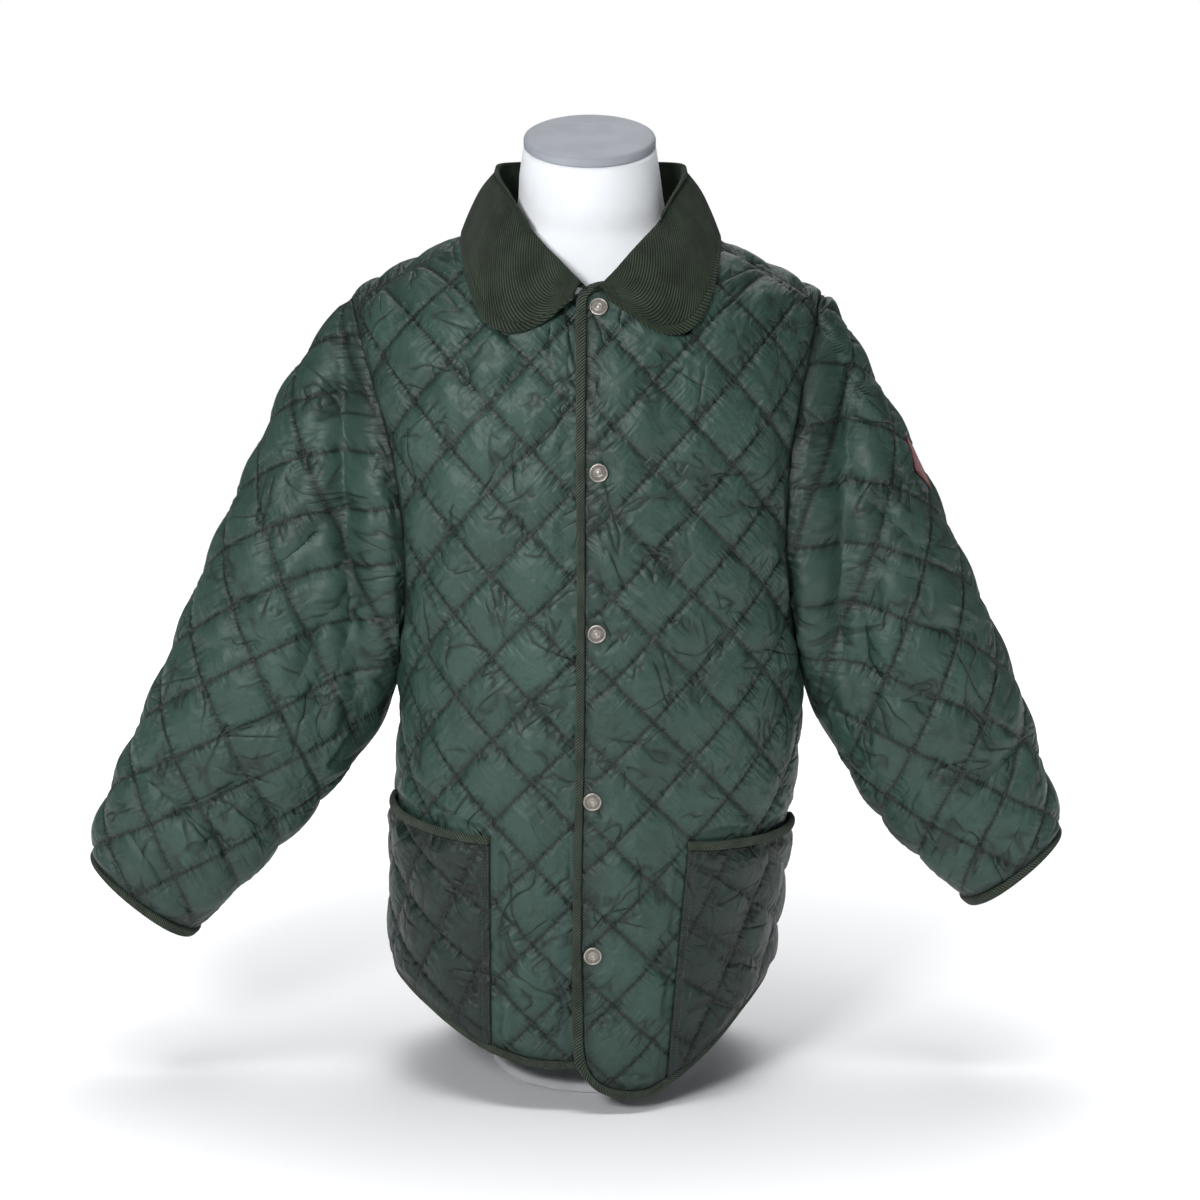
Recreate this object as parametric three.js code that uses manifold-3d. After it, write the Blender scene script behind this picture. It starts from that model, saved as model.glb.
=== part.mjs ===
// Diamond-quilted jacket, snapped shut, on a limbless dress form with a round stand.
// Millimetres. X is to the viewer's right, the front faces -Y, Z is up.
// The origin is the centre of the stand's base on the floor.
// Each cloth piece is cut from a flat quilted slab in pattern space (across, along, thickness),
// and its points are then wrapped onto the worn shape.

import * as THREE from "three";
import { mergeVertices } from "three/addons/utils/BufferGeometryUtils.js";
import Module from "manifold-3d";

const wasm = await Module();
wasm.setup();

// Quilted cloth
const DIAMOND_WIDTH = 74;
const DIAMOND_HEIGHT = 77;
const STITCHED_THICKNESS = 2.2;
const PUFF = 5.3;
const INNER_CROWN = 0.4;
const PUFF_TOP = 0.92;
const PUFF_SPREAD = 0.55;
const SEAM_PINCH = 13;
const SEAM_FULLNESS = 0.12;
const UNDERARM_PUFF = 0.6;
const PATCH_PUFF = 0.4;
const SEAM_GAP = 0.35;
const LAYER_GAP = 0.4;

// Body
const RING_POWER = 2.4;
const COLUMN_POWER = 2.2;
const BEND_START = 605;
const SHOULDER_ALONG = BEND_START + 260;
const ARMHOLE_START_RISE = 200;
const SHOULDER_SEAM_FORWARD = 24;
const BODY_SECTIONS = [
  { height: 10, centre: -16, halfWidth: 166, front: 144, back: 136 },
  { height: 63, centre: -14.5, halfWidth: 171, front: 146, back: 138 },
  { height: 104, centre: -13.5, halfWidth: 178, front: 147, back: 139 },
  { height: 206, centre: -7, halfWidth: 183, front: 149, back: 140 },
  { height: 266, centre: -2, halfWidth: 186, front: 150, back: 141 },
  { height: 361, centre: 5, halfWidth: 187, front: 151, back: 142 },
  { height: 480, centre: 2, halfWidth: 190, front: 150, back: 144 },
  { height: 605, centre: -3, halfWidth: 198, front: 147, back: 147 },
  { height: 700, centre: -7, halfWidth: 212, front: 146, back: 146 },
  { height: 780, centre: -8, halfWidth: 226, front: 146, back: 146 },
  { height: 950, centre: -8, halfWidth: 230, front: 146, back: 146 },
];
const SHOULDER_CREST = [
  { fromCentre: 0, height: 811 },
  { fromCentre: 70, height: 810 },
  { fromCentre: 100, height: 805 },
  { fromCentre: 118, height: 798 },
  { fromCentre: 150, height: 782 },
  { fromCentre: 190, height: 762 },
  { fromCentre: 220, height: 744 },
  { fromCentre: 245, height: 722 },
];

// Armhole: share of the way up, and how far its edge lies from the side line, in degrees
const ARMHOLE_BOTTOM = 405;
const ARMHOLE_EDGE = [
  { up: 0, front: 0, back: 0 },
  { up: 0.03, front: 9, back: 8 },
  { up: 0.08, front: 15.5, back: 13.5 },
  { up: 0.16, front: 21.5, back: 18.5 },
  { up: 0.32, front: 26.5, back: 22.5 },
  { up: 0.52, front: 27, back: 23 },
  { up: 0.7, front: 23.5, back: 21 },
  { up: 0.86, front: 18, back: 17 },
  { up: 1, front: 14, back: 14 },
];

const ARMHOLE_TIP = THREE.MathUtils.degToRad(ARMHOLE_EDGE[ARMHOLE_EDGE.length - 1].front);

// Sleeves, from the cuff up: where the outer and inner fold lines lie, and half the depth
const SLEEVES = {
  left: {
    x: -1,
    sections: [
      { outerX: -481, outerZ: 211, innerX: -393, innerZ: 136, depth: 44, forward: 22 },
      { outerX: -477, outerZ: 240, innerX: -352, innerZ: 176, depth: 50, forward: 20 },
      { outerX: -460, outerZ: 282, innerX: -306, innerZ: 224, depth: 57, forward: 16 },
      { outerX: -437, outerZ: 332, innerX: -256, innerZ: 280, depth: 64, forward: 12 },
      { outerX: -408, outerZ: 396, innerX: -214, innerZ: 334, depth: 70, forward: 8 },
      { outerX: -386, outerZ: 446, innerX: -201, innerZ: 386, depth: 73, forward: 5 },
      { outerX: -352, outerZ: 524, innerX: -180, innerZ: 455, depth: 75, forward: 3 },
      { outerX: -318, outerZ: 596, innerX: -142, innerZ: 525, depth: 73, forward: 1 },
      { outerX: -282, outerZ: 670, innerX: -104, innerZ: 600, depth: 66, forward: 0 },
      { outerX: -218, outerZ: 750, innerX: -60, innerZ: 690, depth: 58, forward: 0 },
    ],
  },
  right: {
    x: 1,
    sections: [
      { outerX: 443, outerZ: 236, innerX: 363, innerZ: 168, depth: 44, forward: 22 },
      { outerX: 439, outerZ: 262, innerX: 324, innerZ: 204, depth: 50, forward: 20 },
      { outerX: 423, outerZ: 306, innerX: 282, innerZ: 246, depth: 57, forward: 16 },
      { outerX: 404, outerZ: 366, innerX: 245, innerZ: 298, depth: 64, forward: 12 },
      { outerX: 380, outerZ: 424, innerX: 219, innerZ: 348, depth: 70, forward: 8 },
      { outerX: 357, outerZ: 474, innerX: 210, innerZ: 391, depth: 73, forward: 5 },
      { outerX: 326, outerZ: 540, innerX: 188, innerZ: 460, depth: 75, forward: 3 },
      { outerX: 292, outerZ: 612, innerX: 150, innerZ: 530, depth: 73, forward: 1 },
      { outerX: 252, outerZ: 682, innerX: 108, innerZ: 602, depth: 66, forward: 0 },
      { outerX: 222, outerZ: 738, innerX: 70, innerZ: 684, depth: 58, forward: 0 },
    ],
  },
};
const SLEEVE_POWER = 2.15;
const ARMHOLE_BLEND = 120;
const ARMHOLE_CUT_STEPS = 20;
const ARMHOLE_STEPS = 72;
const SIDE_STEPS = 6;
const SHOULDER_STEPS = 8;
const NECK_STEPS = 14;
const SLEEVE_SIDE_STEPS = 9;
const CORNER_GAP = 3;
const SIDE_CLEAR = 2;
const UNDERARM_FLAT = 60;
const UNDERARM_GAP = 1;
const ARMHOLE_GAP = 1.3;
const ANGLE_STEP = 1e-4;

// Largest folds, pushed in from the front and from the back: a line in X and Z, width and depth
const FOLDS = [
  { piece: "left", x0: -232, z0: 690, x1: -228, z1: 395, width: 17, depth: 20, backDepth: 14 },
  { piece: "left", x0: -262, z0: 560, x1: -262, z1: 340, width: 14, depth: 7, backDepth: 9 },
  { piece: "left", x0: -455, z0: 320, x1: -380, z1: 262, width: 15, depth: 7, backDepth: 5 },
  { piece: "left", x0: -345, z0: 300, x1: -290, z1: 262, width: 14, depth: 6, backDepth: 8 },
  { piece: "right", x0: 232, z0: 680, x1: 226, z1: 405, width: 17, depth: 19, backDepth: 15 },
  { piece: "right", x0: 268, z0: 575, x1: 250, z1: 360, width: 14, depth: 8, backDepth: 7 },
  { piece: "right", x0: 425, z0: 340, x1: 350, z1: 300, width: 15, depth: 7, backDepth: 6 },
  { piece: "right", x0: 330, z0: 330, x1: 285, z1: 275, width: 14, depth: 6, backDepth: 7 },
  { piece: "body", x0: -150, z0: 560, x1: -60, z1: 430, width: 20, depth: 4, backDepth: 5 },
  { piece: "body", x0: 150, z0: 520, x1: 80, z1: 400, width: 20, depth: 4, backDepth: 5 },
];

// Front opening: the wearer's left front laps over the other one
const OVER_EDGE = [
  { height: 0, across: -12 },
  { height: 160, across: -12 },
  { height: 480, across: -8 },
  { height: 1000, across: -8 },
];
const UNDER_EDGE = 20;
const LAP_LIFT = 7.4;
const LAP_FULL = 32;
const LAP_END = 78;
const LAP_UNDER_LIMIT = 4;
const UNDER_SPLIT = -16;
const LAP_UNDER_FROM = -52;
const LAP_UNDER_FULL = -26;

// Hem, as the finished lower edge: across from the centre line, and height
const BINDING_WIDTH = 8;
const EDGE_SPACING = 15;
const BINDING_END_GAP = 2.2;
const BINDING_END_HEIGHT = 108;
const BINDING_JOIN = 0.6;
const HEM_OVER = [
  { across: -20, height: 66 },
  { across: -17, height: 47 },
  { across: -8, height: 32 },
  { across: 10, height: 19 },
  { across: 46, height: 15 },
  { across: 70, height: 23 },
  { across: 100, height: 42 },
  { across: 128, height: 62 },
  { across: 160, height: 84 },
  { across: 205, height: 98 },
  { across: 300, height: 102 },
];
const HEM_UNDER = [
  { across: -300, height: 104 },
  { across: -215, height: 102 },
  { across: -175, height: 92 },
  { across: -145, height: 78 },
  { across: -118, height: 64 },
  { across: -92, height: 53 },
  { across: -61, height: 45 },
  { across: -30, height: 43 },
  { across: 4, height: 45 },
  { across: 20, height: 55 },
  { across: 27, height: 70 },
];
const HEM_SIDE_ALONG = { under: 104, over: 102, back: 100 };
const HEM_STEPS = { under: 34, over: 36, back: 30 };
const UNDER_HEM_END = 27;
const UNDER_LINE = { start: 84, clear: 8, step: 30 };
const OVER_LINE = { height: 900, clear: 6, end: 74, step: 20, beyondHem: -13 };
const HEM_BACK = [
  { across: -300, height: 102 },
  { across: -205, height: 98 },
  { across: -150, height: 76 },
  { across: -90, height: 52 },
  { across: 0, height: 42 },
  { across: 90, height: 52 },
  { across: 150, height: 78 },
  { across: 205, height: 101 },
  { across: 300, height: 104 },
];

// Neckline in plan, from the front centre to the side and to the back centre
const NECKLINE = [
  { around: 0, x: 0, y: -104 },
  { around: 25, x: 34, y: -98 },
  { around: 50, x: 66, y: -76 },
  { around: 75, x: 88, y: -40 },
  { around: 95, x: 94, y: -6 },
  { around: 120, x: 86, y: 34 },
  { around: 150, x: 50, y: 66 },
  { around: 180, x: 0, y: 76 },
];
const NECK_CENTRE_X = -4;
const NECK_FRONT_Y = { under: -103, over: -104 };

// Patch pockets: inner seam, top edge and turned quilting
const POCKETS = {
  left: { x: -1, innerTop: -97, innerBottom: -97, topInner: 260, topSide: 268 },
  right: { x: 1, innerTop: 85, innerBottom: 64, topInner: 256, topSide: 246 },
};
const POCKET_LATTICE = { u: [22, 44], v: [-44, 30], origin: [3.7, 5.3] };
const POCKET_BED = 2.8;
const POCKET_BED_MARGIN = 19;
const POCKET_LIFT = 5.5;
const POCKET_BINDING_LIFT = 6.5;
const POCKET_TRIM = { edge: 1, binding: 2, foot: 2, hem: 0.4 };
const POCKET_STEPS = { inner: 9, side: 5, top: 6, binding: 12 };

// Snaps on the over front
const SNAPS = [
  { name: "snap_1", x: 2, z: 746 },
  { name: "snap_2", x: 2, z: 608 },
  { name: "snap_3", x: 2, z: 462 },
  { name: "snap_4", x: -1.4, z: 306 },
  { name: "snap_5", x: -3.4, z: 158 },
];
const SNAP_RADIUS = 8.6;
const SNAP_HOLE = 4.2;
const SNAP_SIDES = 12;
const SNAP_LIFT = 5.6;
const SNAP_DIMPLE = { thickness: 3, inner: 10, outer: 30 };

// Sleeve patch, a plain rhombus
const PATCH = { across: -14, along: 392, halfWidth: 21, halfHeight: 29, thickness: 1.3, lift: 4, bed: 1.9 };

// Collar, right half; the left half mirrors it. Roll and edge are places in plan, roll with its height
const COLLAR = [
  { around: 2, rollX: 7, rollY: -107, rollZ: 772, edgeX: 17, edgeY: -110 },
  { around: 13, rollX: 18, rollY: -98, rollZ: 780, edgeX: 42, edgeY: -118 },
  { around: 25, rollX: 30, rollY: -86, rollZ: 791, edgeX: 68, edgeY: -120 },
  { around: 38, rollX: 44, rollY: -70, rollZ: 805, edgeX: 92, edgeY: -112 },
  { around: 52, rollX: 60, rollY: -50, rollZ: 824, edgeX: 106, edgeY: -93 },
  { around: 66, rollX: 73, rollY: -28, rollZ: 843, edgeX: 112, edgeY: -68 },
  { around: 84, rollX: 84, rollY: -4, rollZ: 858, edgeX: 115, edgeY: -34 },
  { around: 104, rollX: 84, rollY: 24, rollZ: 867, edgeX: 114, edgeY: 8 },
  { around: 128, rollX: 70, rollY: 50, rollZ: 868, edgeX: 104, edgeY: 58 },
  { around: 154, rollX: 38, rollY: 69, rollZ: 867, edgeX: 60, edgeY: 96 },
  { around: 180, rollX: 0, rollY: 75, rollZ: 866, edgeX: 0, edgeY: 105 },
];
const COLLAR_THICKNESS = 2.6;
const COLLAR_LIFT = 11;
const COLLAR_FALL_LIFT = 11.6;
const COLLAR_BASE_LIFT = 5.6;
const COLLAR_STEPS = 14;
const COLLAR_SEARCH = 24;
const COLLAR_FULLNESS = 5;
const COLLAR_FULL_FALL = 40;
const COLLAR_RISE_SHARE = 0.3;
const COLLAR_ROLL = 1.6;
const COLLAR_ROLL_DROP = 1.8;
const LEAF_DROP = 4.5;
const CUFF_STEPS = 22;
const CUFF_SEAM_GAP = 0.3;
const CUFF_WAVE = 0.1;

// Dress form and stand
const FORM_SECTIONS = [
  { height: 300, centre: 0, halfWidth: 142, depth: 100 },
  { height: 308, centre: 0, halfWidth: 152, depth: 110 },
  { height: 450, centre: 0, halfWidth: 156, depth: 120 },
  { height: 610, centre: -4, halfWidth: 170, depth: 128 },
  { height: 690, centre: -7, halfWidth: 178, depth: 118 },
  { height: 730, centre: -8, halfWidth: 177, depth: 104 },
  { height: 758, centre: -8, halfWidth: 166, depth: 90 },
  { height: 777.5, centre: -8, halfWidth: 149, depth: 79 },
  { height: 792.3, centre: -8, halfWidth: 119, depth: 69 },
  { height: 802.3, centre: -7, halfWidth: 92, depth: 64 },
  { height: 812, centre: -5, halfWidth: 75, depth: 61 },
  { height: 834, centre: -4, halfWidth: 68, depth: 62 },
  { height: 862, centre: -5, halfWidth: 65, depth: 62 },
];
const FORM_SIDES = 28;
const NECK_TOP = { height: 888, tilt: 17, radius: 61 };
const NECK_HALF_WIDTH = 100;
const CAP_THICKNESS = 9;
const BASE_RADIUS = 100;
const BASE_THICKNESS = 12;
const POLE_RADIUS = 15;
const POLE_SIDES = 12;
const FORM_BOTTOM = 300;

// Smooth reading of a table at one value of its key column
function sample(table, key, at) {
  const last = table.length - 1;
  let i = 0;
  while (i < last - 1 && table[i + 1][key] < at) {
    i += 1;
  }
  const span = table[i + 1][key] - table[i][key];
  const t = Math.min(Math.max((at - table[i][key]) / span, 0), 1);
  const row = {};
  for (const name of Object.keys(table[i])) {
    const slope = (k) => {
      const low = Math.max(k - 1, 0);
      const high = Math.min(k + 1, last);
      return (table[high][name] - table[low][name]) / (table[high][key] - table[low][key]);
    };
    const start = table[i][name];
    const end = table[i + 1][name];
    const a = slope(i) * span;
    const b = slope(i + 1) * span;
    const t2 = t * t;
    const t3 = t2 * t;
    row[name] = (2 * t3 - 3 * t2 + 1) * start + (3 * t2 - 2 * t3) * end;
    row[name] += (t3 - 2 * t2 + t) * a + (t3 - t2) * b;
  }
  return row;
}

function smoothStep(from, to, value) {
  const t = Math.min(Math.max((value - from) / (to - from), 0), 1);
  return t * t * (3 - 2 * t);
}

function power(value, exponent) {
  return Math.sign(value) * Math.abs(value) ** exponent;
}

// Lengths along a quarter of a superellipse, from its end on the second axis to its first
function quarterLengths(width, depth, exponent, steps = 36) {
  const lengths = [0];
  let before = [0, depth];
  for (let i = 1; i <= steps; i += 1) {
    const angle = (Math.PI / 2) * (i / steps);
    const across = width * Math.sin(angle) ** (2 / exponent);
    const out = depth * Math.abs(Math.cos(angle)) ** (2 / exponent);
    const point = [across, out];
    lengths.push(lengths[i - 1] + Math.hypot(point[0] - before[0], point[1] - before[1]));
    before = point;
  }
  return lengths;
}

function lengthToAngle(lengths, length) {
  const steps = lengths.length - 1;
  let i = 0;
  while (i < steps - 1 && lengths[i + 1] < length) {
    i += 1;
  }
  const share = THREE.MathUtils.clamp((length - lengths[i]) / (lengths[i + 1] - lengths[i]), 0, 1);
  return (Math.PI / 2) * ((i + share) / steps);
}

function angleToLength(lengths, angle) {
  const place = (angle / (Math.PI / 2)) * (lengths.length - 1);
  const i = Math.min(Math.floor(place), lengths.length - 2);
  return lengths[i] + (place - i) * (lengths[i + 1] - lengths[i]);
}

function foldPush(piece, x, z, behind) {
  let push = 0;
  for (const fold of FOLDS) {
    if (fold.piece === piece) {
      const along = new THREE.Vector2(fold.x1 - fold.x0, fold.z1 - fold.z0);
      const from = new THREE.Vector2(x - fold.x0, z - fold.z0);
      const t = from.dot(along) / along.lengthSq();
      const off = Math.abs(from.cross(along)) / along.length();
      const window = smoothStep(-0.18, 0.2, t) * (1 - smoothStep(0.8, 1.18, t));
      push += window * (behind ? fold.backDepth : fold.depth) * Math.exp(-((off / fold.width) ** 2));
    }
  }
  return push;
}

// The worn body. A face is "front" or "back", and each one is measured across from the line X = 0,
// to the right as seen from outside, and along from the floor up and over the shoulder.
const faceSide = (face) => (face === "front" ? 1 : -1);
const within = (low, high) => (point) => point[0] >= low && point[0] <= high;

function bodySection(face, along) {
  const row = sample(BODY_SECTIONS, "height", along);
  return { centre: row.centre, halfWidth: row.halfWidth, depth: face === "front" ? row.front : row.back };
}

function columnAt(face, xSign, angle, along) {
  const section = bodySection(face, along);
  const x = section.centre + xSign * section.halfWidth * Math.sin(angle) ** (2 / RING_POWER);
  const depth = Math.max(section.depth * Math.cos(angle) ** (2 / RING_POWER), 1);
  const rise = sample(SHOULDER_CREST, "fromCentre", Math.abs(x - section.centre)).height - BEND_START;
  return { x, depth, rise, lengths: quarterLengths(rise, depth, COLUMN_POWER, 28) };
}

function columnLength(face, xSign, angle) {
  let length = 180;
  for (let i = 0; i < 7; i += 1) {
    const column = columnAt(face, xSign, angle, BEND_START + length);
    length = column.lengths[column.lengths.length - 1];
  }
  return length;
}

function columnPoint(face, xSign, angle, along) {
  const column = columnAt(face, xSign, angle, along);
  const out = -faceSide(face);
  const total = column.lengths[column.lengths.length - 1];
  const over = along - BEND_START;
  if (over > total) {
    const other = face === "front" ? "back" : "front";
    const crest = columnLength(face, xSign, angle);
    const otherCrest = columnLength(other, xSign, angle);
    const beyond = Math.max(over - crest, 0);
    return columnPoint(other, xSign, angle, BEND_START + otherCrest - beyond - 0.001);
  }
  if (over <= 0) {
    return new THREE.Vector3(column.x, out * column.depth, along);
  }
  const bend = lengthToAngle(column.lengths, over);
  const y = out * column.depth * Math.cos(bend) ** (2 / COLUMN_POWER);
  return new THREE.Vector3(column.x, y, BEND_START + column.rise * Math.sin(bend) ** (2 / COLUMN_POWER));
}

function acrossToAngle(face, across, along) {
  const section = bodySection(face, along);
  const side = faceSide(face);
  const fromCentre = across - side * section.centre;
  const lengths = quarterLengths(section.halfWidth, section.depth, RING_POWER);
  return { angle: lengthToAngle(lengths, Math.abs(fromCentre)), xSign: side * (Math.sign(fromCentre) || 1) };
}

function angleToAcross(face, xSign, angle, along) {
  const section = bodySection(face, along);
  const lengths = quarterLengths(section.halfWidth, section.depth, RING_POWER);
  return faceSide(face) * (section.centre + xSign * angleToLength(lengths, angle));
}

function bodyPoint(face, across, along) {
  const place = acrossToAngle(face, across, along);
  const point = columnPoint(face, place.xSign, place.angle, along);
  const outward = faceSide(face);
  point.y += outward * foldPush("body", point.x, point.z, face === "back");
  return point;
}

// A surface point lifted along the outward normal
function lifted(surface, across, along, lift) {
  const step = 1.5;
  const point = surface(across, along);
  const right = surface(across + step, along).sub(surface(across - step, along));
  const up = surface(across, along + step).sub(surface(across, along - step));
  return point.addScaledVector(right.cross(up).normalize(), lift);
}

// The armhole, shared by the body pieces' cut and the sleeve's upper edge
function armholePlace(xSign, face, up) {
  const row = sample(ARMHOLE_EDGE, "up", up);
  const inset = Math.max(face === "front" ? row.front : row.back, 0);
  const angle = Math.PI / 2 - THREE.MathUtils.degToRad(inset);
  const crest = BEND_START + columnLength(face, xSign, Math.PI / 2 - ARMHOLE_TIP);
  const along = ARMHOLE_BOTTOM + up * (crest - ARMHOLE_BOTTOM);
  return { angle, along, across: angleToAcross(face, xSign, angle, along) };
}

// Plan position on the shoulder to pattern position on a face
function planToPattern(face, x, y) {
  let along = BEND_START + ARMHOLE_START_RISE;
  let place = null;
  const own = y < 0 === (face === "front");
  const measured = own ? face : face === "front" ? "back" : "front";
  for (let i = 0; i < 8; i += 1) {
    const section = bodySection(measured, along);
    const share = Math.min(Math.abs(x - section.centre) / section.halfWidth, 0.999);
    const xSign = Math.sign(x - section.centre) || 1;
    const angle = Math.asin(share ** (RING_POWER / 2));
    const column = columnAt(measured, xSign, angle, along);
    const bend = Math.acos(Math.min(Math.abs(y) / column.depth, 1) ** (COLUMN_POWER / 2));
    const length = angleToLength(column.lengths, bend);
    place = { angle, xSign, length };
    along = BEND_START + length;
  }
  if (!own) {
    const beyond = columnLength(measured, place.xSign, place.angle) - place.length;
    along = BEND_START + columnLength(face, place.xSign, place.angle) + beyond;
  }
  return { across: angleToAcross(face, place.xSign, place.angle, along), along };
}

// Height to distance along the front, where the front bends back to the shoulder
function heightToAlong(face, across, height) {
  let low = 0;
  let high = BEND_START + 190;
  for (let i = 0; i < 30; i += 1) {
    const middle = (low + high) / 2;
    if (bodyPoint(face, across, middle).z < height) {
      low = middle;
    } else {
      high = middle;
    }
  }
  return (low + high) / 2;
}

// Sleeve surface
for (const sleeve of Object.values(SLEEVES)) {
  let along = 0;
  let before = null;
  for (const row of sleeve.sections) {
    const middle = new THREE.Vector2((row.outerX + row.innerX) / 2, (row.outerZ + row.innerZ) / 2);
    along += before ? middle.distanceTo(before) : 0;
    row.along = along;
    before = middle;
  }
}

function sleeveRing(sleeve, along) {
  const row = sample(sleeve.sections, "along", along);
  const outer = new THREE.Vector3(row.outerX, -row.forward, row.outerZ);
  const inner = new THREE.Vector3(row.innerX, -row.forward, row.innerZ);
  const centre = outer.clone().add(inner).divideScalar(2);
  const outward = outer.sub(inner).divideScalar(2);
  const lengths = quarterLengths(row.depth, outward.length(), SLEEVE_POWER);
  return { centre, outward, depth: row.depth, lengths };
}

function ringPoint(sleeve, angle, along) {
  const ring = sleeveRing(sleeve, along);
  const outer = power(Math.cos(angle), 2 / SLEEVE_POWER);
  const front = power(Math.sin(angle), 2 / SLEEVE_POWER) * sleeve.x * ring.depth;
  return ring.centre.addScaledVector(ring.outward, outer).add(new THREE.Vector3(0, front, 0));
}

function sleeveAcrossToAngle(sleeve, across, along) {
  const lengths = sleeveRing(sleeve, along).lengths;
  const quarter = lengths[lengths.length - 1];
  const length = Math.abs(across);
  const isNear = length <= quarter;
  const angle = lengthToAngle(lengths, isNear ? length : 2 * quarter - length);
  return Math.sign(across) * (isNear ? angle : Math.PI - angle);
}

function sleeveAngleToAcross(sleeve, angle, along) {
  const lengths = sleeveRing(sleeve, along).lengths;
  const quarter = lengths[lengths.length - 1];
  const size = Math.abs(angle);
  const isNear = size <= Math.PI / 2;
  const length = angleToLength(lengths, isNear ? size : Math.PI - size);
  return Math.sign(angle) * (isNear ? length : 2 * quarter - length);
}

function armholeFor(sleeve, angle) {
  const isFront = angle * sleeve.x < 0;
  const face = isFront ? "front" : "back";
  const place = armholePlace(sleeve.x, face, (1 + Math.cos(angle)) / 2);
  const surface = (across, along) => bodyPoint(face, across, along);
  const point = surface(place.across, place.along);
  const normal = lifted(surface, place.across, place.along, 1).sub(point);
  return { point, normal };
}

for (const sleeve of Object.values(SLEEVES)) {
  sleeve.armhole = [];
  for (let i = 0; i <= ARMHOLE_STEPS; i += 1) {
    const angle = -Math.PI + (2 * Math.PI * i) / ARMHOLE_STEPS;
    const inRange = THREE.MathUtils.clamp(angle, -Math.PI + ANGLE_STEP, Math.PI - ANGLE_STEP);
    const seam = armholeFor(sleeve, inRange || ANGLE_STEP);
    const { x, y, z } = seam.point;
    sleeve.armhole.push({ angle, x, y, z, nx: seam.normal.x, ny: seam.normal.y, nz: seam.normal.z });
  }
  for (const row of sleeve.armhole) {
    const point = new THREE.Vector3(row.x, row.y, row.z);
    let low = 0;
    let high = sleeve.sections[sleeve.sections.length - 1].along + 80;
    for (let i = 0; i < 26; i += 1) {
      const at = (low + high) / 2;
      const ring = sleeveRing(sleeve, at);
      const across = new THREE.Vector3(-sleeve.x * ring.outward.z, 0, sleeve.x * ring.outward.x);
      if (point.clone().sub(ring.centre).dot(across) > 0) {
        low = at;
      } else {
        high = at;
      }
    }
    row.along = (low + high) / 2;
    const ring = ringPoint(sleeve, row.angle, row.along);
    row.dx = row.x - ring.x;
    row.dy = row.y - ring.y;
    row.dz = row.z - ring.z;
  }
}

function sleeveSeam(sleeve, angle) {
  return sample(sleeve.armhole, "angle", angle);
}

function sleevePoint(name, across, along) {
  const sleeve = SLEEVES[name];
  const angle = sleeveAcrossToAngle(sleeve, across, along);
  const seam = sleeveSeam(sleeve, angle);
  const point = ringPoint(sleeve, angle, along);
  const share = smoothStep(seam.along - ARMHOLE_BLEND, seam.along, along);
  point.add(new THREE.Vector3(seam.dx, seam.dy, seam.dz).multiplyScalar(share));
  const behind = angle * sleeve.x > 0;
  const facing = smoothStep(0.2, 0.75, Math.abs(Math.sin(angle)));
  const free = 1 - smoothStep(seam.along - 26, seam.along - 4, along);
  point.y += (behind ? -1 : 1) * foldPush(name, point.x, point.z, behind) * facing * free;
  return point;
}

// Near the armhole the sleeve's thickness turns to the body's own direction
function sleeveLifted(name, across, along, lift) {
  const sleeve = SLEEVES[name];
  const surface = (a, b) => sleevePoint(name, a, b);
  const base = surface(across, along);
  const normal = lifted(surface, across, along, 1).sub(base);
  const seam = sleeveSeam(sleeve, sleeveAcrossToAngle(sleeve, across, along));
  const share = smoothStep(seam.along - 24, seam.along, along);
  normal.lerp(new THREE.Vector3(seam.nx, seam.ny, seam.nz), share).normalize();
  return base.addScaledVector(normal, lift);
}

// Solids
function toManifold(geometry) {
  const bare = geometry.clone();
  bare.deleteAttribute("normal");
  bare.deleteAttribute("uv");
  const merged = mergeVertices(bare, 1e-4);
  const mesh = new wasm.Mesh({
    numProp: 3,
    vertProperties: new Float32Array(merged.attributes.position.array),
    triVerts: new Uint32Array(merged.index.array),
  });
  return new wasm.Manifold(mesh);
}

function toGeometry(points, faces) {
  let volume = 0;
  for (const [a, b, c] of faces) {
    const [p, q, r] = [points[a], points[b], points[c]];
    volume += p[0] * (q[1] * r[2] - q[2] * r[1]);
    volume += p[1] * (q[2] * r[0] - q[0] * r[2]);
    volume += p[2] * (q[0] * r[1] - q[1] * r[0]);
  }
  const turned = volume < 0 ? faces.map(([a, b, c]) => [a, c, b]) : faces;
  const geometry = new THREE.BufferGeometry();
  geometry.setAttribute("position", new THREE.BufferAttribute(new Float32Array(points.flat()), 3));
  geometry.setIndex(turned.flat());
  return geometry;
}

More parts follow.
